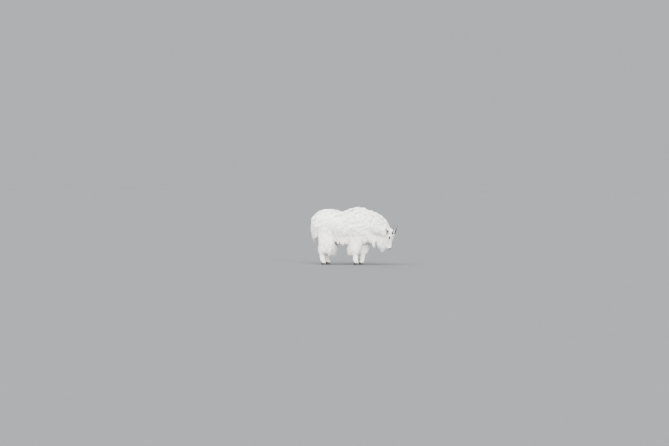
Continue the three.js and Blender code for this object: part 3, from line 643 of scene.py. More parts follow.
def earMesh(side):
    start, reach, opening, across = earFrame(side)
    stations, arc = earShape["stations"], earShape["arc"]
    u = np.linspace(0.0, 1.0, stations)
    half = earShape["half"] * (0.52 + 1.25 * u**0.8 * (1 - u)) * (1 - 0.8 * u**3)
    half[-1] = earShape["tip"]
    wall = earShape["wall"] * (1 - 0.72 * u)
    span = np.radians(mix(*earShape["wrap"], smooth(u, 0.05, 0.5)))
    long = earShape["length"] + earShape["sink"]
    outer, inner = [], []
    for k in range(stations):
        turn = np.linspace(-span[k], span[k], arc)
        centre = start + reach * u[k] * long - opening * earShape["curl"] * u[k] ** 2
        for ring, size in ((outer, half[k]), (inner, max(half[k] - wall[k], earShape["thinnest"]))):
            ring.append(centre + across * (size * np.sin(turn))[:, None]
                        - opening * (earShape["flatness"] * size * np.cos(turn))[:, None])
    loop = np.concatenate([np.array(outer), np.array(inner)[:, ::-1]], 1)
    points, faces = loftMesh(loop)
    inside = np.zeros(len(points))
    inside[:-2] = np.tile(np.r_[np.zeros(arc), np.ones(arc)], stations)
    return points * mm, faces, inside, loop


def earCoat(side, loop):  # short fur on the ear's back and along its edges
    arc = earShape["arc"]
    outer = loop[:, :arc]
    reach = earFrame(side)[1]
    s = np.linspace(0, 1, len(outer))[:, None]
    t = (np.linspace(0, 1, arc)[None, :] + (side > 0)) / 2
    row = coatRow("ears", outer - shift, earHair["depth"], earHair["length"], reach + 0 * outer, 1, s, t)
    row["place"] = (row["place"] + shift) * mm
    return row


# Lids: a soft almond round each eye, its outer edge sunk under the head's own surface
lidShape = {"long": 13.4, "high": 8.6, "ball": 16.4, "turns": 72, "reach": 2.05, "sink": 1.6, "bulge": 1.6,
            "rings": [(0.93, -1.4), (1.0, 0.5), (1.08, 1.9), (1.22, 2.7), (1.42, 2.5), (1.7, 1.6)]}


def eyeAxes(side):
    outward = unit(leftAxis * side * 0.9 + frontAxis * 0.42)
    along = unit(downAxis - downAxis.dot(outward) * outward)
    return outward, along, np.cross(outward, along)


headPoints = vectorsOf(headShape.vertices, "co")
headSurface = BVHTree.FromPolygons([tuple(p) for p in headPoints], trianglesOf(headShape).tolist())


def headUnder(place, outward):  # the head's surface under a place that stands off it, in millimetres
    hit = headSurface.ray_cast(Vector((place + outward * 30) * mm), Vector(-outward), 0.08)[0]
    return np.array(hit) / mm if hit else place


def lidMesh(side, centre):
    outward, along, across = eyeAxes(side)
    toFront = 1.0 if across @ frontAxis > 0 else -1.0
    turn = fullTurn(lidShape["turns"])
    brow = smooth(np.sin(turn) * toFront, -0.3, 0.7)  # the upper lid is the heavier one
    u = lidShape["long"] * shaped(np.cos(turn), 0.86)
    v = lidShape["high"] * shaped(np.sin(turn), 1.25)
    rings = []
    for grow, lift in lidShape["rings"]:
        x, y = u * grow, v * grow
        z = np.sqrt(np.maximum(lidShape["ball"] ** 2 - x**2 - y**2, 20)) + lift * (0.7 + 0.5 * brow)
        rings.append(centre + np.stack([x, y, z], -1) @ np.array([along, across, outward]))
    far = u * lidShape["reach"], v * (lidShape["reach"] + 0.7)
    edge = centre + far[0][:, None] * along + far[1][:, None] * across
    under = np.array([headUnder(p, outward) for p in edge + outward * 10]) - outward * lidShape["sink"]
    fold = rings[-1]
    for t in (0.4, 0.72, 1.0):
        rings.append(mix(fold, under, t) + outward * (math.sin(math.pi * t) * lidShape["bulge"]))
    points = np.array(rings).reshape(-1, 3)
    quads = gridFaces(len(rings), lidShape["turns"])
    a, b, c = points[quads[0, :3]]
    if np.cross(b - a, c - a) @ outward < 0:
        quads = quads[:, ::-1]
    return points * mm, halved(quads)


lids = [lidMesh(side, centre) for side, centre in ((-1, eyeRight), (1, eyeLeft))]
ears = {side: earMesh(side) for side in (-1, 1)}
earRows = [earCoat(side, ears[side][3]) for side in (-1, 1)]
coat = {key: np.concatenate([coat[key]] + [row[key] for row in earRows]) for key in coat}


# Materials. What several of them share is a node group
black, white = (0, 0, 0, 1), (1, 1, 1, 1)


def feed(socket, value):  # another node's output is linked to the socket, anything else is its own value
    if isinstance(value, bpy.types.NodeSocket):
        socket.id_data.links.new(value, socket)
    else:
        socket.default_value = value


def fill(node, **values):  # a node's settings by their names, its sockets by their labels with _ for a space
    for key, value in values.items():
        if hasattr(node, key):
            setattr(node, key, value)
        else:
            feed(node.inputs[key.replace("_", " ")], value)
    return node


def addNode(tree, kind, **values):
    return fill(tree.nodes.new(kind), **values)


def newMaterial(name):
    material = bpy.data.materials.new(name)
    material.use_nodes = True
    return material, material.node_tree, material.node_tree.nodes["Principled BSDF"]


def groupTree(name, kind, inputs, outputs):
    tree = bpy.data.node_groups.new(name, kind)
    for label, value, socketKind in inputs:
        socket = tree.interface.new_socket(label, in_out="INPUT", socket_type="NodeSocket" + socketKind)
        if value is not None:
            socket.default_value = value
    for label, socketKind in outputs:
        tree.interface.new_socket(label, in_out="OUTPUT", socket_type="NodeSocket" + socketKind)
    return tree, tree.nodes.new("NodeGroupInput").outputs, tree.nodes.new("NodeGroupOutput").inputs


def worked(tree, operation, *values):  # a sum on numbers or sockets
    node = addNode(tree, "ShaderNodeMath", operation=operation)
    for socket, value in zip(node.inputs, values):
        feed(socket, value)
    return node.outputs[0]


def mixColour(tree, factor, first, second, blend="MIX"):
    node = addNode(tree, "ShaderNodeMix", data_type="RGBA", blend_type=blend)
    for slot, value in ((0, factor), (6, first), (7, second)):
        feed(node.inputs[slot], value)
    return node.outputs[2]


def ramp(source, *stops):  # a place and a colour for each of its two stops
    node = addNode(source.id_data, "ShaderNodeValToRGB", Fac=source)
    for element, (place, colour) in zip(node.color_ramp.elements, stops):
        element.position, element.color = place, colour
    return node.outputs[0]


coatColours = {
    "white": (0.94, 0.94, 0.935, 1),
    "cream": (0.83, 0.775, 0.66, 1),
    "shade": (0.80, 0.785, 0.75, 1),  # times the white: painted shade deep between the hairs, at their roots
    "dull": (0.86, 0.85, 0.83, 1),  # times the white, the dullest strands
    "line": (0.72, 0.71, 0.69, 1),  # times the white: painted shade in the lines between the fine hairs of a strand
}
hairGrain = (4.5, 1.2, 60.0)  # scale of the painted lines of shade between fine hairs: across a strand, along it, and from strand to strand


def makeCoatTone():  # the coat's white, with cream where it is worn or stained, alike on skin and hair, and painted shade where Depth is low (on the hair, toward its roots)
    tree, given, out = groupTree("coatTone", "ShaderNodeTree", [
        ("White", coatColours["white"], "Color"), ("Cream", coatColours["cream"], "Color"),
        ("Stain", 0.3, "Float"), ("Depth", 1.0, "Float")], [("Colour", "Color")])
    place = addNode(tree, "ShaderNodeTexCoord").outputs["Object"]
    patches = addNode(tree, "ShaderNodeTexNoise", Vector=place, Scale=5.5, Detail=3.0)
    spots = ramp(patches.outputs["Fac"], (0.36, black), (0.7, white))
    tinted = mixColour(tree, worked(tree, "MULTIPLY", spots, given["Stain"]), given["White"], given["Cream"])
    # painted shade: where Depth is low the white is darkened to the shade colour
    deep = mixColour(tree, given["Depth"], coatColours["shade"], white)
    feed(out["Colour"], mixColour(tree, 1.0, tinted, deep, "MULTIPLY"))
    return tree


coatTone = makeCoatTone()


def makeHairMaterial():
    material, tree, shader = newMaterial("coatHair")
    tone = addNode(tree, "ShaderNodeAttribute", attribute_name="tone")
    stain, along, own = addNode(tree, "ShaderNodeSeparateColor", Color=tone.outputs["Color"]).outputs
    # Depth rises from the root over three quarters of the strand; below that the hair gets painted shade
    deep = addNode(tree, "ShaderNodeMapRange", Value=along, From_Max=0.75)
    group = addNode(tree, "ShaderNodeGroup", node_tree=coatTone, Stain=stain, Depth=deep.outputs[0])
    varied = ramp(own, (0.0, coatColours["dull"]), (1.0, white))
    toned = mixColour(tree, 1.0, group.outputs[0], varied, "MULTIPLY")
    place = addNode(tree, "ShaderNodeCombineXYZ", X=tone.outputs["Alpha"], Y=along, Z=own)
    # painted shade: darker lines between the fine hairs that a strand stands for
    grain = addNode(tree, "ShaderNodeMapping", Vector=place.outputs[0], Scale=hairGrain)
    hairs = addNode(tree, "ShaderNodeTexNoise", Vector=grain.outputs[0], Scale=1.0, Detail=2.0)
    shadeBetweenHairs = ramp(hairs.outputs["Fac"], (0.32, coatColours["line"]), (0.58, white))
    fill(shader, Base_Color=mixColour(tree, 1.0, toned, shadeBetweenHairs, "MULTIPLY"), Roughness=0.78,
         Sheen_Weight=0.25, Sheen_Roughness=0.5, Specular_IOR_Level=0.25)
    return material


skinColours = {
    "bare": ((0.004, 0.0035, 0.0035, 1), (0.016, 0.0125, 0.0115, 1)),
    # inside the ears: the ear's own darker skin, darkened further as painted shade of the cup
    "earSkinAndShade": ((0.04, 0.031, 0.027, 1), (0.10, 0.078, 0.066, 1)),
}


def makeSkinMaterial():  # short fur over pale skin, bare and dark at the nose and lips, and inside the ears darker skin with painted shade of the cup
    material, tree, shader = newMaterial("skinFur")
    marks = addNode(tree, "ShaderNodeAttribute", attribute_name="marks")
    stain, bare, earSkinAndShade = addNode(tree, "ShaderNodeSeparateColor", Color=marks.outputs["Color"]).outputs
    group = addNode(tree, "ShaderNodeGroup", node_tree=coatTone, Stain=stain)
    place = addNode(tree, "ShaderNodeTexCoord").outputs["Object"]
    grain = addNode(tree, "ShaderNodeTexNoise", Vector=place, Scale=420.0, Detail=4.0).outputs["Fac"]
    colour = mixColour(tree, bare, group.outputs[0], mixColour(tree, grain, *skinColours["bare"]))
    colour = mixColour(tree, earSkinAndShade, colour, mixColour(tree, grain, *skinColours["earSkinAndShade"]))
    rough = addNode(tree, "ShaderNodeMapRange", Value=bare, To_Min=0.8, To_Max=0.38)
    bump = addNode(tree, "ShaderNodeBump", Height=grain, Strength=0.5, Distance=0.0012)
    fill(shader, Base_Color=colour, Roughness=rough.outputs[0], Normal=bump.outputs[0],
         Specular_IOR_Level=0.16)
    return material


def makeGrownHorn():  # streaks along the growth and fine lines across it, alike on horns and hooves
    tree, given, out = groupTree("grownHorn", "ShaderNodeTree", [
        ("Growth", None, "Vector"),
        ("Light", (0.03, 0.03, 0.03, 1), "Color"), ("Dark", (0.006, 0.006, 0.006, 1), "Color"),
        ("Lines", 34.0, "Float"), ("Smoothest", 0.2, "Float"), ("Roughest", 0.45, "Float")],
        [("Colour", "Color"), ("Height", "Float"), ("Roughness", "Float")])
    grain = addNode(tree, "ShaderNodeMapping", Vector=given["Growth"], Scale=(1.0, 1.0, 0.16))
    streaks = addNode(tree, "ShaderNodeTexNoise", Vector=grain.outputs[0], Scale=260.0, Detail=5.0,
                      Roughness=0.6).outputs["Fac"]
    lines = addNode(tree, "ShaderNodeTexWave", bands_direction="Z", Vector=given["Growth"],
                    Scale=given["Lines"], Distortion=2.5, Detail=2.0).outputs["Fac"]
    streaked = mixColour(tree, ramp(streaks, (0.3, black), (0.75, white)), given["Dark"], given["Light"])
    worn = worked(tree, "MULTIPLY", lines, 0.12)
    rough = addNode(tree, "ShaderNodeMapRange", Value=streaks, To_Min=given["Smoothest"],
                    To_Max=given["Roughest"])
    feed(out["Colour"], mixColour(tree, worn, streaked, given["Light"]))
    feed(out["Height"], worked(tree, "MULTIPLY_ADD", lines, 0.15, streaks))
    feed(out["Roughness"], rough.outputs[0])
    return tree


grownHorn = makeGrownHorn()
hornLooks = {
    "blackHorn": {"Light": (0.013, 0.0115, 0.0105, 1), "Dark": (0.003, 0.0027, 0.0027, 1),
                  "Lines": 34.0, "Smoothest": 0.24, "Roughest": 0.5},
    "hoofHorn": {"Light": (0.022, 0.0188, 0.0165, 1), "Dark": (0.006, 0.0053, 0.005, 1),
                 "Lines": 60.0, "Smoothest": 0.42, "Roughest": 0.67},
}


def makeHornMaterial(name):
    material, tree, shader = newMaterial(name)
    growth = addNode(tree, "ShaderNodeAttribute", attribute_name="growth").outputs["Vector"]
    group = addNode(tree, "ShaderNodeGroup", node_tree=grownHorn, Growth=growth, **hornLooks[name])
    bump = addNode(tree, "ShaderNodeBump", Height=group.outputs["Height"], Strength=0.4, Distance=0.0004)
    fill(shader, Base_Color=group.outputs["Colour"], Roughness=group.outputs["Roughness"],
         Normal=bump.outputs[0], Specular_IOR_Level=0.3)
    return material


eyeColours = {
    "fibre": (0.007, 0.0035, 0.002, 1),
    "iris": (0.030, 0.0135, 0.0045, 1),
    "rim": (0.012, 0.009, 0.008, 1),
    "pupil": (0.002, 0.002, 0.003, 1),
}


def makeEyeMaterial():  # a level slit of a pupil in a dark amber iris
    material, tree, shader = newMaterial("wetEye")
    gaze = addNode(tree, "ShaderNodeAttribute", attribute_name="gaze").outputs["Vector"]
    x, y, _ = addNode(tree, "ShaderNodeSeparateXYZ", Vector=gaze).outputs
    flat = addNode(tree, "ShaderNodeCombineXYZ", X=x, Y=y).outputs[0]
    slit = addNode(tree, "ShaderNodeMapping", Vector=flat, Scale=(1.0, 2.4, 1.0)).outputs[0]
    away, within = (addNode(tree, "ShaderNodeVectorMath", operation="LENGTH", Vector=way).outputs["Value"]
                    for way in (flat, slit))
    fibres = addNode(tree, "ShaderNodeTexNoise", Vector=gaze, Scale=9.0, Detail=5.0).outputs["Fac"]
    iris = ramp(fibres, (0.3, eyeColours["fibre"]), (0.7, eyeColours["iris"]))
    ringed = mixColour(tree, ramp(away, (0.62, black), (0.74, white)), iris, eyeColours["rim"])
    colour = mixColour(tree, ramp(within, (0.44, black), (0.5, white)), eyeColours["pupil"], ringed)
    fill(shader, Base_Color=colour, Roughness=0.08, Specular_IOR_Level=0.1,
         Coat_Weight=0.3, Coat_IOR=1.33, Coat_Roughness=0.03)
    return material


hairMaterial = makeHairMaterial()
skinMaterial = makeSkinMaterial()
hornMaterial = makeHornMaterial("blackHorn")
hoofMaterial = makeHornMaterial("hoofHorn")
eyeMaterial = makeEyeMaterial()
print("materials made")


# The skin becomes one piece, with its markings painted by their place on the head
coatFinder = finderOf(coat["place"])
lips = {"width": (1.9, 4.2), "wider": (268, 292), "from": (240, 256)}
nosePad = {"along": 293, "front": 12, "side": 14, "radii": (19.5, 14.5, 16.0)}
eyeRim = {"within": (1.5, 1.9), "reach": 34}


def coatAt(places, count):  # the coat's values at places, blended from the nearest stations
    index = np.array([[hit[1] for hit in coatFinder.find_n(place, count)] for place in places])
    found = {key: coat[key][index].mean(1) for key in ("depth", "length", "hang", "tint")}
    found["flow"] = unit(coat["flow"][index].mean(1))
    found["region"], found["map"] = coat["region"][index[:, 0]], coat["map"][index[:, 0]]
    return found


def darkSkin(places):  # how bare and dark the skin is: nose pad, lips and the lids' edges
    a, b, c = headPlace(places / mm)
    width = mix(*lips["width"], smooth(a, *lips["wider"]))
    dark = (1 - smooth(np.abs(b - mouthLine(a)), width, width * 1.7)) * smooth(a, *lips["from"])
    for side in (-1, 1):
        x, y, z = ((place - nosePad[key]) / radius for place, key, radius in
                   zip((a, b, side * c), ("along", "front", "side"), nosePad["radii"]))
        dark = np.maximum(dark, 1 - smooth(np.sqrt(x**2 + y**2 + z**2), 0.85, 1.2))
    between = (1 - smooth(np.abs(c), 11, 16)) * smooth(a, 288, 296) * smooth(b, -14, -6)
    onMuzzle = (np.abs(c) < 46) & (a > 200) & (a < 330) & (b > -70) & (b < 60)
    dark = np.maximum(dark, between) * onMuzzle
    for side, eyeAt in ((-1, eyeRight), (1, eyeLeft)):
        _, along, across = eyeAxes(side)
        off = places / mm - eyeAt
        r = np.hypot(off @ along / lidShape["long"], off @ across / lidShape["high"])
        near = np.linalg.norm(off, axis=1) < eyeRim["reach"]
        dark = np.maximum(dark, (1 - smooth(r, *eyeRim["within"])) * near)
    return dark


def makeSkin():
    parts = [(vectorsOf(shape.vertices, "co"), trianglesOf(shape)) for shape in (bodyShape, headShape)] + lids
    furred = sum(len(points) for points, _ in parts)
    inside = np.concatenate([np.zeros(furred)] + [ear[2] for ear in ears.values()])
    points, faces = joinMeshes(parts + [ear[:2] for ear in ears.values()])
    skin = meshFrom("skin", points, faces, skinMaterial)
    setColours(skin.data, "marks", np.stack([coatAt(points, 1)["tint"], darkSkin(points), inside], -1))
    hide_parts("torso", "neck", "head", "tail", "ear_right", "ear_left", *legs)
    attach(skin, "root")
    return skin


skin = makeSkin()
print("skin", len(skin.data.polygons))


# Hair. A tuft is a few thin strands that leave the skin together, lie along the coat and close to a tip
hairLook = {
    "body": {"perSquare": 20000, "strands": 6, "width": 1.05, "spread": 9.0, "close": 0.66, "wave": 3.0,
             "perLock": 34, "gather": 0.45},
    "leg": {"perSquare": 34000, "strands": 5, "width": 0.8, "spread": 5.0, "close": 0.55, "wave": 1.2,
            "perLock": 22, "gather": 0.35},
    "face": {"perSquare": 100000, "strands": 4, "width": 0.42, "spread": 2.4, "close": 0.4, "wave": 0.4,
             "perLock": 12, "gather": 0.1},
    "fringe": {"perSquare": 27000, "strands": 6, "width": 0.95, "spread": 9.0, "close": 0.74, "wave": 5.0,
               "perLock": 22, "gather": 0.5},
    "beard": {"perSquare": 46000, "strands": 8, "width": 0.58, "spread": 6.5, "close": 0.6, "wave": 7.0,
              "perLock": 30, "gather": 0.4},
}
lockReach = 0.045  # no tuft joins a lock farther off than this
steps = 6  # points of a tuft's path
mostTriangles = 195000  # in one piece of the coat
shortStrand = {"at": (0.0, 0.5, 1.0), "width": (0.85, 0.8, 0.0)}
longStrand = {"at": (0.0, 0.36, 0.72, 1.0), "width": (0.75, 1.0, 0.72, 0.0)}  # bends in more places
bareFrom = 0.25  # darker skin than this grows no hair
bareDewclaw = {"off": (0.004, 0, 0.004), "radius": 0.021}
aroundEye = {"within": (22, 46), "turn": 1.5, "shorten": 0.4}
bakePatch = {"spread": 0.0011, "side": 0.3, "length": 0.0028}  # a strand's place on the coat's map


def scatter(points, faces, perSquare):  # roots spread over triangles by their area
    corners = points[faces]
    area = np.linalg.norm(np.cross(corners[:, 1] - corners[:, 0], corners[:, 2] - corners[:, 0]), axis=1) / 2
    total = np.cumsum(area * perSquare)
    count = int(total[-1])
    picks = np.minimum(np.searchsorted(total, (np.arange(count) + rng.random(count))), len(faces) - 1)
    u, v = rng.random(count), rng.random(count)
    flip = u + v > 1
    u[flip], v[flip] = 1 - u[flip], 1 - v[flip]
    c = corners[picks]
    return c[:, 0] + (c[:, 1] - c[:, 0]) * u[:, None] + (c[:, 2] - c[:, 0]) * v[:, None], picks


def strandOf(look):
    return longStrand if look["close"] > 0.45 else shortStrand


skinPoints, skinFaces = vectorsOf(skin.data.vertices, "co"), trianglesOf(skin.data)
skinNormals = vectorsOf(skin.data.vertex_normals, "vector")
skinFinder = finderOf(skinPoints)
skinCoat = coatAt(skinPoints, 5)
earStart = len(skinPoints) - sum(len(ear[0]) for ear in ears.values())
strayed = skinCoat["region"][:earStart] == regionNames.index("ears")  # the head's own, beside an ear
skinCoat["region"][:earStart][strayed] = regionNames.index("head")


def nearestSkin(places):
    return np.array([skinFinder.find(place)[1] for place in places])


def tuftPaths(roots, index, length, depth, hang, flow, sag):  # paths and ways out, tufts × steps × 3
    count = len(roots)
    step = (length / (steps - 1))[:, None]
    base, free = roots.copy(), roots.copy()
    out = skinNormals[index]
    heading = unit(flow - (flow * out).sum(1, keepdims=True) * out * 0.85)
    freeHeading = mix(heading, flow, 0.8)
    gravity = np.array([0, 0, -1.0])
    paths, outs = np.empty((count, steps, 3)), np.empty((count, steps, 3))
    start = out.copy()
    for k in range(steps):
        t = k / (steps - 1)
        rise = depth * (1 - (1 - t) ** 2.4) * (1 - 0.18 * t**2)
        lying, hanging = base + out * rise[:, None], free + start * (rise * 0.9)[:, None]
        blend = np.clip(hang, 0, 1)[:, None]
        paths[:, k] = mix(lying, hanging, blend)
        outs[:, k] = unit(mix(out, start, blend))
        if k == steps - 1:
            break
        ahead = base + heading * step
        index = nearestSkin(ahead)
        near, normal = skinPoints[index], skinNormals[index]
        base = ahead - normal * ((ahead - near) * normal).sum(1, keepdims=True)
        out = unit(mix(out, normal, 0.7))
        wanted = unit(mix(heading, skinCoat["flow"][index], 0.3))
        heading = unit(wanted - (wanted * out).sum(1, keepdims=True) * out)
        freeHeading = unit(mix(freeHeading, gravity, (sag * 0.5)[:, None]))
        free = free + freeHeading * step
    return paths, outs


def locksOf(roots, perLock):  # the tuft that leads each tuft's lock
    leaders = rng.choice(len(roots), max(1, len(roots) // perLock), replace=False)
    finder = finderOf(roots[leaders])
    hits = [finder.find(root) for root in roots]
    leader, away = leaders[[hit[1] for hit in hits]], np.array([hit[2] for hit in hits])
    return np.where(away < lockReach, leader, np.arange(len(roots)))


def strandPoints(paths, outs, look):  # strands round each tuft's path, and how far each starts off it
    shape = (len(paths), look["strands"])
    offset = rng.uniform(-1, 1, (*shape, 2))
    offset[:, 0] *= 0.25
    reach = rng.uniform(0.66, 1.0, shape)
    reach[:, 0] = 1.0
    phase = rng.uniform(0, 2 * math.pi, shape)
    twist = rng.uniform(-0.6, 0.6, shape)[..., None]
    width = look["width"] * mm * rng.uniform(0.75, 1.25, shape)
    travel = unit(np.gradient(paths, axis=1))
    rows = np.arange(len(paths))[:, None]
    points = []
    for at, narrow in zip(*strandOf(look).values()):
        place = np.clip(at * reach * (steps - 1), 0, steps - 1 - 1e-6)
        low = place.astype(int)
        part = (place - low)[..., None]
        centre, out, way = (mix(v[rows, low], v[rows, low + 1], part) for v in (paths, outs, travel))
        way = unit(way)
        across = unit(np.cross(way, unit(out)))
        out = np.cross(across, way)
        radius = look["spread"] * mm * (1 - look["close"] * at)
        wave = look["wave"] * mm * np.sin(phase + at * 5.0) * at
        centre = centre + across * (offset[..., 0] * radius + wave)[..., None]
        centre = centre + out * (offset[..., 1] * radius * 0.45)[..., None]
        edge = (across * np.cos(twist) + out * np.sin(twist)) * (width * narrow)[..., None]
        points += [centre - edge, centre + edge]
    return np.stack(points[:-1], 2), offset  # both edges meet in the tip


def strandMesh(name, paths, outs, look, tone, rootMap):
    points, offset = strandPoints(paths, outs, look)
    count, strands, corners = points.shape[:3]
    ends = corners // 2
    pattern = [[2 * k + i for i in three] for k in range(ends - 1) for three in ((0, 1, 2), (1, 3, 2))]
    pattern.append([corners - 3, corners - 2, corners - 1])
    faces = (np.arange(count * strands)[:, None, None] * corners + np.array(pattern)).reshape(-1, 3)
    piece = meshFrom(name, points.reshape(-1, 3), faces, hairMaterial)
    alongs = np.repeat(strandOf(look)["at"], 2)[:corners]
    shade = np.empty((count, strands, corners, 4), np.float32)
    shade[..., 0] = tone[:, None, None]
    # place along the strand, which sets the painted shade toward its root
    shade[..., 1] = alongs
    shade[..., 2] = rng.random((count, strands))[..., None] * 0.6 + rng.random(count)[:, None, None] * 0.4
    # place across the strand, which sets the painted lines of shade between fine hairs
    shade[..., 3] = np.append(np.tile([0.0, 1.0], ends), 0.5)
    setColours(piece.data, "tone", shade.reshape(-1, 4))
    layer = piece.data.uv_layers.new(name="OFBake")
    sides = np.tile([-bakePatch["side"], bakePatch["side"]], ends + 1)[:corners]
    spot = np.empty((count, strands, corners, 2), np.float32)
    spot[..., 0] = rootMap[:, None, None, 0] + bakePatch["spread"] * (offset[:, :, None, 0] + sides)
    spot[..., 1] = rootMap[:, None, None, 1] + bakePatch["length"] * (alongs - 0.5)
    layer.data.foreach_set("uv", spot.reshape(-1, 2)[faces.ravel()].ravel())
    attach(piece, "root")
    return piece


def hairKinds(region, length):  # which kind of hair stands on each of the skin's triangles
    isHead, isEar, isTail = (region == regionNames.index(name) for name in ("head", "ears", "tail"))
    kinds = np.full(len(region), "body", dtype="<U6")
    kinds[(region >= regionNames.index("foreleg_right")) & (length < 75)] = "leg"
    kinds[(length > 132) | isTail] = "fringe"
    kinds[isHead | isEar] = "face"
    kinds[isHead & (length > 48)] = "beard"
    return kinds


def bareSkin(region, centre):  # the triangles that grow no hair of their own
    first = skinFaces[:, 0]
    onEar = first >= earStart
    onHead = (first >= len(bodyShape.vertices)) & ~onEar
    earInside = np.concatenate([ear[2] for ear in ears.values()])
    bare = darkSkin(centre) > bareFrom
    bare[onEar] |= earInside[first[onEar] - earStart] > 0.5
    bare |= onHead & (region == regionNames.index("neck"))  # the body's own neck carries that hair
    bare |= ~onHead & ~onEar & (region == regionNames.index("head"))
    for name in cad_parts:
        if "_dewclaw_" in name:
            away = np.linalg.norm(centre - boxMiddle(name) - bareDewclaw["off"], axis=1)
            bare |= away < bareDewclaw["radius"]
    return bare


def plantTufts():  # for each kind of hair its roots, and the skin's corner that each stands by
    region, length = (skinCoat[key][skinFaces[:, 0]] for key in ("region", "length"))
    bare = bareSkin(region, skinPoints[skinFaces].mean(1))
    kinds = hairKinds(region, length)
    tufts = []
    for kind, look in hairLook.items():
        chosen = skinFaces[(kinds == kind) & ~bare]
        roots, picks = scatter(skinPoints, chosen, look["perSquare"] * (1.0))
        tufts.append((kind, roots, chosen[picks][:, 0]))
    return tufts


pieceSplit = {
    "torso": ["coatRump", "coatLoin", "coatFlank", "coatBarrel", "coatShoulder"],
    "neck": ["coatNeck", "coatThroat"],
    "head": ["coatHead"],
    "ears": ["coatEars"],
    "tail": ["coatTail"],
    "foreleg_right": ["coatForelegRight"],
    "foreleg_left": ["coatForelegLeft"],
    "hindleg_right": ["coatHindlegRight"],
    "hindleg_left": ["coatHindlegLeft"],
}


def tuftsOf(kind, roots, here):  # their paths, ways out and stain, each drawn toward its lock's leader
    look, count = hairLook[kind], len(roots)
    leader = locksOf(roots, look["perLock"])
    level, longer = rng.uniform(0.5, 1.12, count), rng.uniform(0.78, 1.15, count)
    level, longer = (mix(own, own[leader], look["gather"]) for own in (level, longer))
    length, depth = here["length"] * mm * longer, here["depth"] * mm * level
    flow = here["flow"] + rng.normal(0, 0.09, (count, 3))
    for eyeAt in (eyeRight, eyeLeft):  # the hair round an eye lies away from it
        off = roots / mm - eyeAt
        near = 1 - smooth(np.linalg.norm(off, axis=1), *aroundEye["within"])
        flow = flow + unit(off) * (aroundEye["turn"] * near)[:, None]
        length = length * (1 - aroundEye["shorten"] * near)
    stiff = here["region"] == regionNames.index("ears")
    sag = np.where(stiff, 0, here["hang"]) * (0.22 if kind == "beard" else 1.0)
    paths, outs = tuftPaths(roots, here["corner"], length, depth, here["hang"], unit(flow), sag)
    closing = np.linspace(0, 1, steps)[None, :, None] ** 1.4 * look["gather"]
    paths = mix(paths, paths[leader], closing)
    paths[..., 2] = np.maximum(paths[..., 2], 0.03)  # clear of the floor
    stain = rng.normal(0, 0.14, count)
    return paths, outs, np.clip(here["tint"] + mix(stain, stain[leader], 0.6), 0, 1)


def makeCoat():
    made = []
    for kind, roots, corner in plantTufts():
        look = hairLook[kind]
        here = {key: values[corner] for key, values in skinCoat.items()}
        paths, outs, tone = tuftsOf(kind, roots, {**here, "corner": corner})
        perTuft = (2 * len(strandOf(look)["at"]) - 3) * look["strands"]
        for index, region in enumerate(regionNames):
            mine = np.flatnonzero(here["region"] == index)
            if not len(mine):
                continue
            mine = mine[np.argsort(roots[mine, 0])]
            names = pieceSplit[region]
            shares = max(len(names) if kind == "body" else 1, -(-len(mine) // (mostTriangles // perTuft)))
            for part, chosen in enumerate(np.array_split(mine, shares)):
                label = names[min(part, len(names) - 1)] + (str(part) if part >= len(names) else "")
                label += "" if kind in ("body", "face") else kind.capitalize()
                made.append(strandMesh(label, paths[chosen], outs[chosen], look, tone[chosen],
                                       here["map"][chosen]))
    return made


earFluff = {"count": 130, "strands": 3, "width": 0.22, "spread": 2.0, "close": 0.5, "wave": 0.8,
            "rows": (8, 38), "edge": (0.02, 0.34), "length": (18, 32), "tone": 0.15}


def makeEarFluff():  # pale hairs cross the ear's cup from its edges
    paths, outs, places = [], [], []
    stations, arc = earShape["stations"], earShape["arc"]
    t = np.linspace(0, 1, steps)[:, None]
    for side in (-1, 1):
        _, reach, opening, across = earFrame(side)
        loop = ears[side][3]
        for _ in range(earFluff["count"]):
            k = int(mix(*earFluff["rows"], rng.random() ** 1.2))
            fromFirst = rng.random() < 0.5
            at = rng.uniform(*earFluff["edge"])
            root = loop[k, arc + int(round((arc - 1) * (at if fromFirst else 1 - at)))] - opening * 0.4
            inward = across * (1 if (root - loop[k].mean(0)) @ across < 0 else -1)
            way = unit(reach * rng.uniform(0.5, 1.2) + inward * rng.uniform(0.35, 0.9) + opening * 0.25)
            long = rng.uniform(*earFluff["length"]) * (1 - 0.45 * k / stations)
            bow = opening * (4.0 * np.sin(math.pi * 0.8 * t)) - inward * (2.0 * t**2)
            paths.append((root + way * (long * t) + bow) * mm)
            outs.append(np.tile(unit(opening + 0.2 * inward), (steps, 1)))
            places.append(onMap("ears", k / stations, 0.25 + 0.5 * (side > 0)))
    tone = np.full(len(paths), earFluff["tone"])
    return strandMesh("earFluff", np.array(paths), np.array(outs), earFluff, tone, np.array(places))


coatPieces = makeCoat()
coatPieces.append(makeEarFluff())
print("coat", len(coatPieces), "pieces", sum(len(p.data.polygons) for p in coatPieces), "triangles")


# Eyes, each a ball with a bulging cornea and a pupil that stays near level though the head is lowered
pupilTurn = math.radians(55)



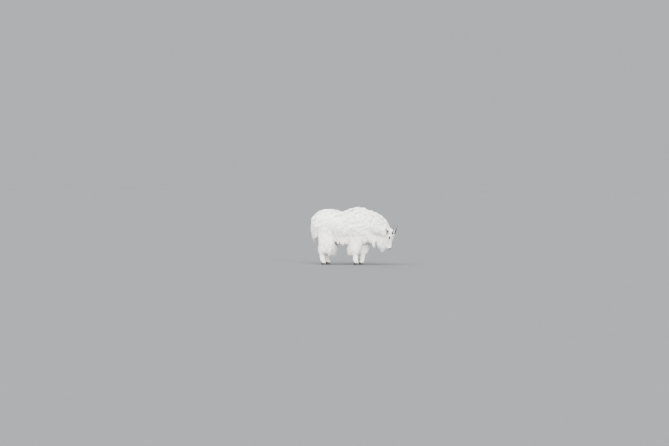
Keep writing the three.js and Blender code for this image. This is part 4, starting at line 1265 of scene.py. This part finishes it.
def makeEye(side, name, centre, rings=40, count=48):
    axes = eyeAxes(side)
    tilt, turn = np.linspace(0.02, math.pi - 0.05, rings)[:, None], fullTurn(count)[None, :]
    radius = eyeSpot["radius"] * (0.96 + 0.05 * np.exp(-(tilt / 0.55) ** 2))  # fuller at the cornea
    local = np.stack([radius * np.sin(tilt) * np.cos(turn), radius * np.sin(tilt) * np.sin(turn),
                      radius * np.cos(tilt) * np.ones(count)], -1)
    points, faces = loftMesh(local)
    place = (centre + points @ np.array([axes[1], axes[2], axes[0]])) * mm
    piece = meshFrom(name.replace("_", "Ball"), place, faces, eyeMaterial)
    x, y, z = points.T
    y = y * (1.0 if axes[2] @ frontAxis > 0 else -1.0)
    cosine, sine = math.cos(pupilTurn), math.sin(pupilTurn)
    level = np.stack([x * cosine + y * sine, y * cosine - x * sine, z], -1)
    setVectors(piece.data, "gaze", level / eyeSpot["radius"])
    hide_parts(name)
    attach(piece, "root")


for side, name, centre in ((-1, "eye_right", eyeRight), (1, "eye_left", eyeLeft)):
    makeEye(side, name, centre)
print("eyes set")


# Horns grow along a curve, ringed near the root, by Geometry Nodes
hornShape = {"along": 70, "front": 42, "side": 27, "radius": 15.0, "length": 182, "sink": 24, "taper": 0.84,
             "rings": 9.0, "ringDepth": 0.7, "leanAtRoot": 34, "spread": 0.16, "spreadMore": 0.04}

hornInputs = {"Base Radius": hornShape["radius"] * mm, "Taper": hornShape["taper"],
              "Rings": hornShape["rings"], "Ring Depth": hornShape["ringDepth"] * mm}


def hornPath(side, count=40):
    at = inHead(hornShape["along"], hornShape["front"], side * hornShape["side"])
    points = []
    stretch = (hornShape["length"] + hornShape["sink"]) / (count - 1)
    for i in range(count):
        t = i / (count - 1)
        lean = math.radians(hornShape["leanAtRoot"] * (1 - t))
        apart = leftAxis * side * (hornShape["spread"] + hornShape["spreadMore"] * t)
        way = unit(-downAxis * math.cos(lean) + frontAxis * math.sin(lean) + apart)
        if i == 0:
            at = at - way * hornShape["sink"]
        points.append(at.copy())
        at = at + way * stretch
    return np.array(points)


def hornTree():
    tree, given, out = groupTree("growHorn", "GeometryNodeTree", [("Path", None, "Geometry")] + [
        (label, value, "Float") for label, value in hornInputs.items()], [("Horn", "Geometry")])

    def times(first, second):
        return worked(tree, "MULTIPLY", first, second)

    factor = addNode(tree, "GeometryNodeSplineParameter").outputs["Factor"]
    thin = worked(tree, "SUBTRACT", 1.0, times(worked(tree, "POWER", factor, 1.15), given["Taper"]))
    wave = worked(tree, "SINE", times(worked(tree, "POWER", factor, 0.8), times(given["Rings"], 10.0)))
    fade = worked(tree, "MAXIMUM", worked(tree, "SUBTRACT", 1.0, times(factor, 1.9)), 0.0)
    ringed = times(times(wave, fade), given["Ring Depth"])
    radius = worked(tree, "ADD", times(thin, given["Base Radius"]), ringed)
    curve = addNode(tree, "GeometryNodeMeshToCurve", Mesh=given["Path"])
    finer = addNode(tree, "GeometryNodeResampleCurve", Curve=curve.outputs[0], Count=150)
    profile = addNode(tree, "GeometryNodeCurvePrimitiveCircle", Resolution=36, Radius=1.0)
    sweep = addNode(tree, "GeometryNodeCurveToMesh", Curve=finer.outputs[0], Scale=radius,
                    Profile_Curve=profile.outputs[0], Fill_Caps=True)
    grown = sweep.outputs[0]
    for kind in ("SetShadeSmooth", "RealizeInstances", "SetMaterial"):
        node = tree.nodes.new("GeometryNode" + kind)
        feed(node.inputs[0], grown)
        grown = node.outputs[0]
    feed(node.inputs["Material"], hornMaterial)
    feed(out["Horn"], grown)
    return tree


growHorn = hornTree()


def makeHorn(side, name):
    path = hornPath(side) * mm
    line = bpy.data.meshes.new(name)
    line.from_pydata([tuple(p) for p in path], [(i, i + 1) for i in range(len(path) - 1)], [])
    carrier = bpy.data.objects.new(name + "Path", line)
    scene.collection.objects.link(carrier)
    modifier = carrier.modifiers.new("grow", "NODES")
    modifier.node_group = growHorn
    for item in growHorn.interface.items_tree:
        if item.in_out == "INPUT" and item.name in hornInputs:
            modifier[item.identifier] = hornInputs[item.name]
    piece = bpy.data.objects.new(name, applied(carrier))
    scene.collection.objects.link(piece)
    points = vectorsOf(piece.data.vertices, "co")
    start, way = path[0], unit(path[-1] - path[0])
    height = (points - start) @ way
    across = points - start - height[:, None] * way
    setVectors(piece.data, "growth", np.concatenate([across[:, :2], height[:, None]], 1))
    return piece


for side, name in ((-1, "right"), (1, "left")):
    horn = makeHorn(side, "horn" + name.capitalize())
    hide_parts("horn_" + name)
    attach(horn, "root")
print("horns grown")


# Hooves: two claws to a foot, each flat under and rounded over, and two dewclaws behind
clawShape = {"length": 66, "half": 15, "height": 44, "toe": 0.62, "heel": 0.38, "lean": 6, "part": 1.5,
             "lines": 46, "lineDepth": 0.006, "lineFrom": 0.08}
dewclawShape = {"radius": 9, "ahead": 7, "above": 11, "width": 0.75, "height": 0.6}


def clawMesh(name, stations=26, count=56):
    low, high = (np.array(v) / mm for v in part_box(name))
    t, turn = np.linspace(0, 1, stations)[:, None], fullTurn(count)[None, :]
    along = np.cos(turn)
    toe = clawShape["length"] * (clawShape["toe"] - 0.3 * t**0.9)
    heel = clawShape["length"] * (clawShape["heel"] - 0.02 * t)
    bulge = np.sin(math.pi * t) * 0.03
    half = clawShape["half"] * (1 - 0.12 * t + bulge) * (1 - 0.10 * smooth(0.06 - t, 0, 0.06))
    lines = 1 + clawShape["lineDepth"] * np.sin(t * clawShape["lines"]) * (t > clawShape["lineFrom"])
    x = np.where(along > 0, toe * along, heel * shaped(along, 0.8)) * lines
    y = half * shaped(np.sin(turn), 0.8) * (1 - 0.25 * np.maximum(along, 0) ** 2) * lines
    z = clawShape["height"] * t + 0 * x
    centre = low[0] + clawShape["length"] * clawShape["heel"]
    inner = 1 if "claw_left" in name else -1
    side = (low[1] + high[1]) / 2 - inner * clawShape["part"] * 0.5
    x = centre + x - clawShape["lean"] * t
    y = side + inner * (1 - t) * clawShape["part"] + y
    points, faces = loftMesh(np.stack([x, y, z], -1))
    return points * mm, faces


def dewclawMesh(name, stations=14, count=24):
    x, y, z = boxMiddle(name) / mm
    t, turn = np.linspace(0, 1, stations)[:, None], fullTurn(count)[None, :]
    close = np.sqrt(np.maximum(1 - smooth(t, 0.8, 1.06) * 0.9, 0.02))
    radius = dewclawShape["radius"] * (1 - 0.45 * t**2) * close
    x = x + dewclawShape["ahead"] * (1 - 2 * t) + radius * dewclawShape["width"] * np.cos(turn)
    z = z + dewclawShape["above"] * (1 - 2 * t) + radius * dewclawShape["height"] * np.cos(turn)
    points, faces = loftMesh(np.stack([x, y + radius * np.sin(turn), z], -1))
    return points * mm, faces


def makeHooves():
    claws = [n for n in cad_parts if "_claw_" in n]
    dewclaws = [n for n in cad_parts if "_dewclaw_" in n]
    for label, names, make in (("hooves", claws, clawMesh), ("dewclaws", dewclaws, dewclawMesh)):
        points, faces = joinMeshes([make(name) for name in sorted(names)])
        piece = meshFrom(label, points, faces, hoofMaterial)
        setVectors(piece.data, "growth", points)
        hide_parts(*names)
        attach(piece, "root")


makeHooves()
print("hooves set")


# Studio: a wide pale floor under soft light
stageLook = {"world": (0.56, 0.57, 0.585, 1), "worldStrength": 1.0, "reach": 90.0,
             "floor": ((0.0728, 0.0741, 0.0760, 1), (0.0766, 0.0779, 0.0800, 1))}


def makeStage():
    material, tree, shader = newMaterial("paleFloor")
    place = addNode(tree, "ShaderNodeTexCoord").outputs["Object"]
    cloud = addNode(tree, "ShaderNodeTexNoise", Vector=place, Scale=0.8, Detail=4.0)
    tone = mixColour(tree, cloud.outputs["Fac"], *stageLook["floor"])
    fill(shader, Base_Color=tone, Roughness=1.0, Specular_IOR_Level=0.0)
    corners = stageLook["reach"] * np.array([[-1, -1, 0], [1, -1, 0], [1, 1, 0], [-1, 1, 0]])
    floor = meshFrom("floor", corners, [[0, 1, 2, 3]], material)
    world = bpy.data.worlds.new("studio")
    scene.world = world
    world.use_nodes = True
    back = world.node_tree.nodes["Background"]
    fill(back, Color=stageLook["world"], Strength=stageLook["worldStrength"])


lamps = {  # the way each lies from the animal, how wide it looks in degrees, and its strength
    "overhead": {"from": (-0.25, -0.45, 1.0), "wide": 70, "strength": 17.3, "colour": (0.985, 0.992, 1.0)},
    "side": {"from": (0.55, -1.0, 0.5), "wide": 50, "strength": 10.8, "colour": (1.0, 0.993, 0.98)},
    "behind": {"from": (-0.6, 1.0, 0.6), "wide": 50, "strength": 5.9, "colour": (0.95, 0.975, 1.0)},
}


def makeLamps():
    for name, lamp in lamps.items():
        data = bpy.data.lights.new(name, "SUN")
        data.angle, data.energy, data.color = math.radians(lamp["wide"]), lamp["strength"], lamp["colour"]
        thing = bpy.data.objects.new(name, data)
        thing.location = Vector(lamp["from"]) * 5
        thing.rotation_euler = Vector(lamp["from"]).to_track_quat("Z", "Y").to_euler()
        scene.collection.objects.link(thing)


makeStage()
makeLamps()
print("stage lit")
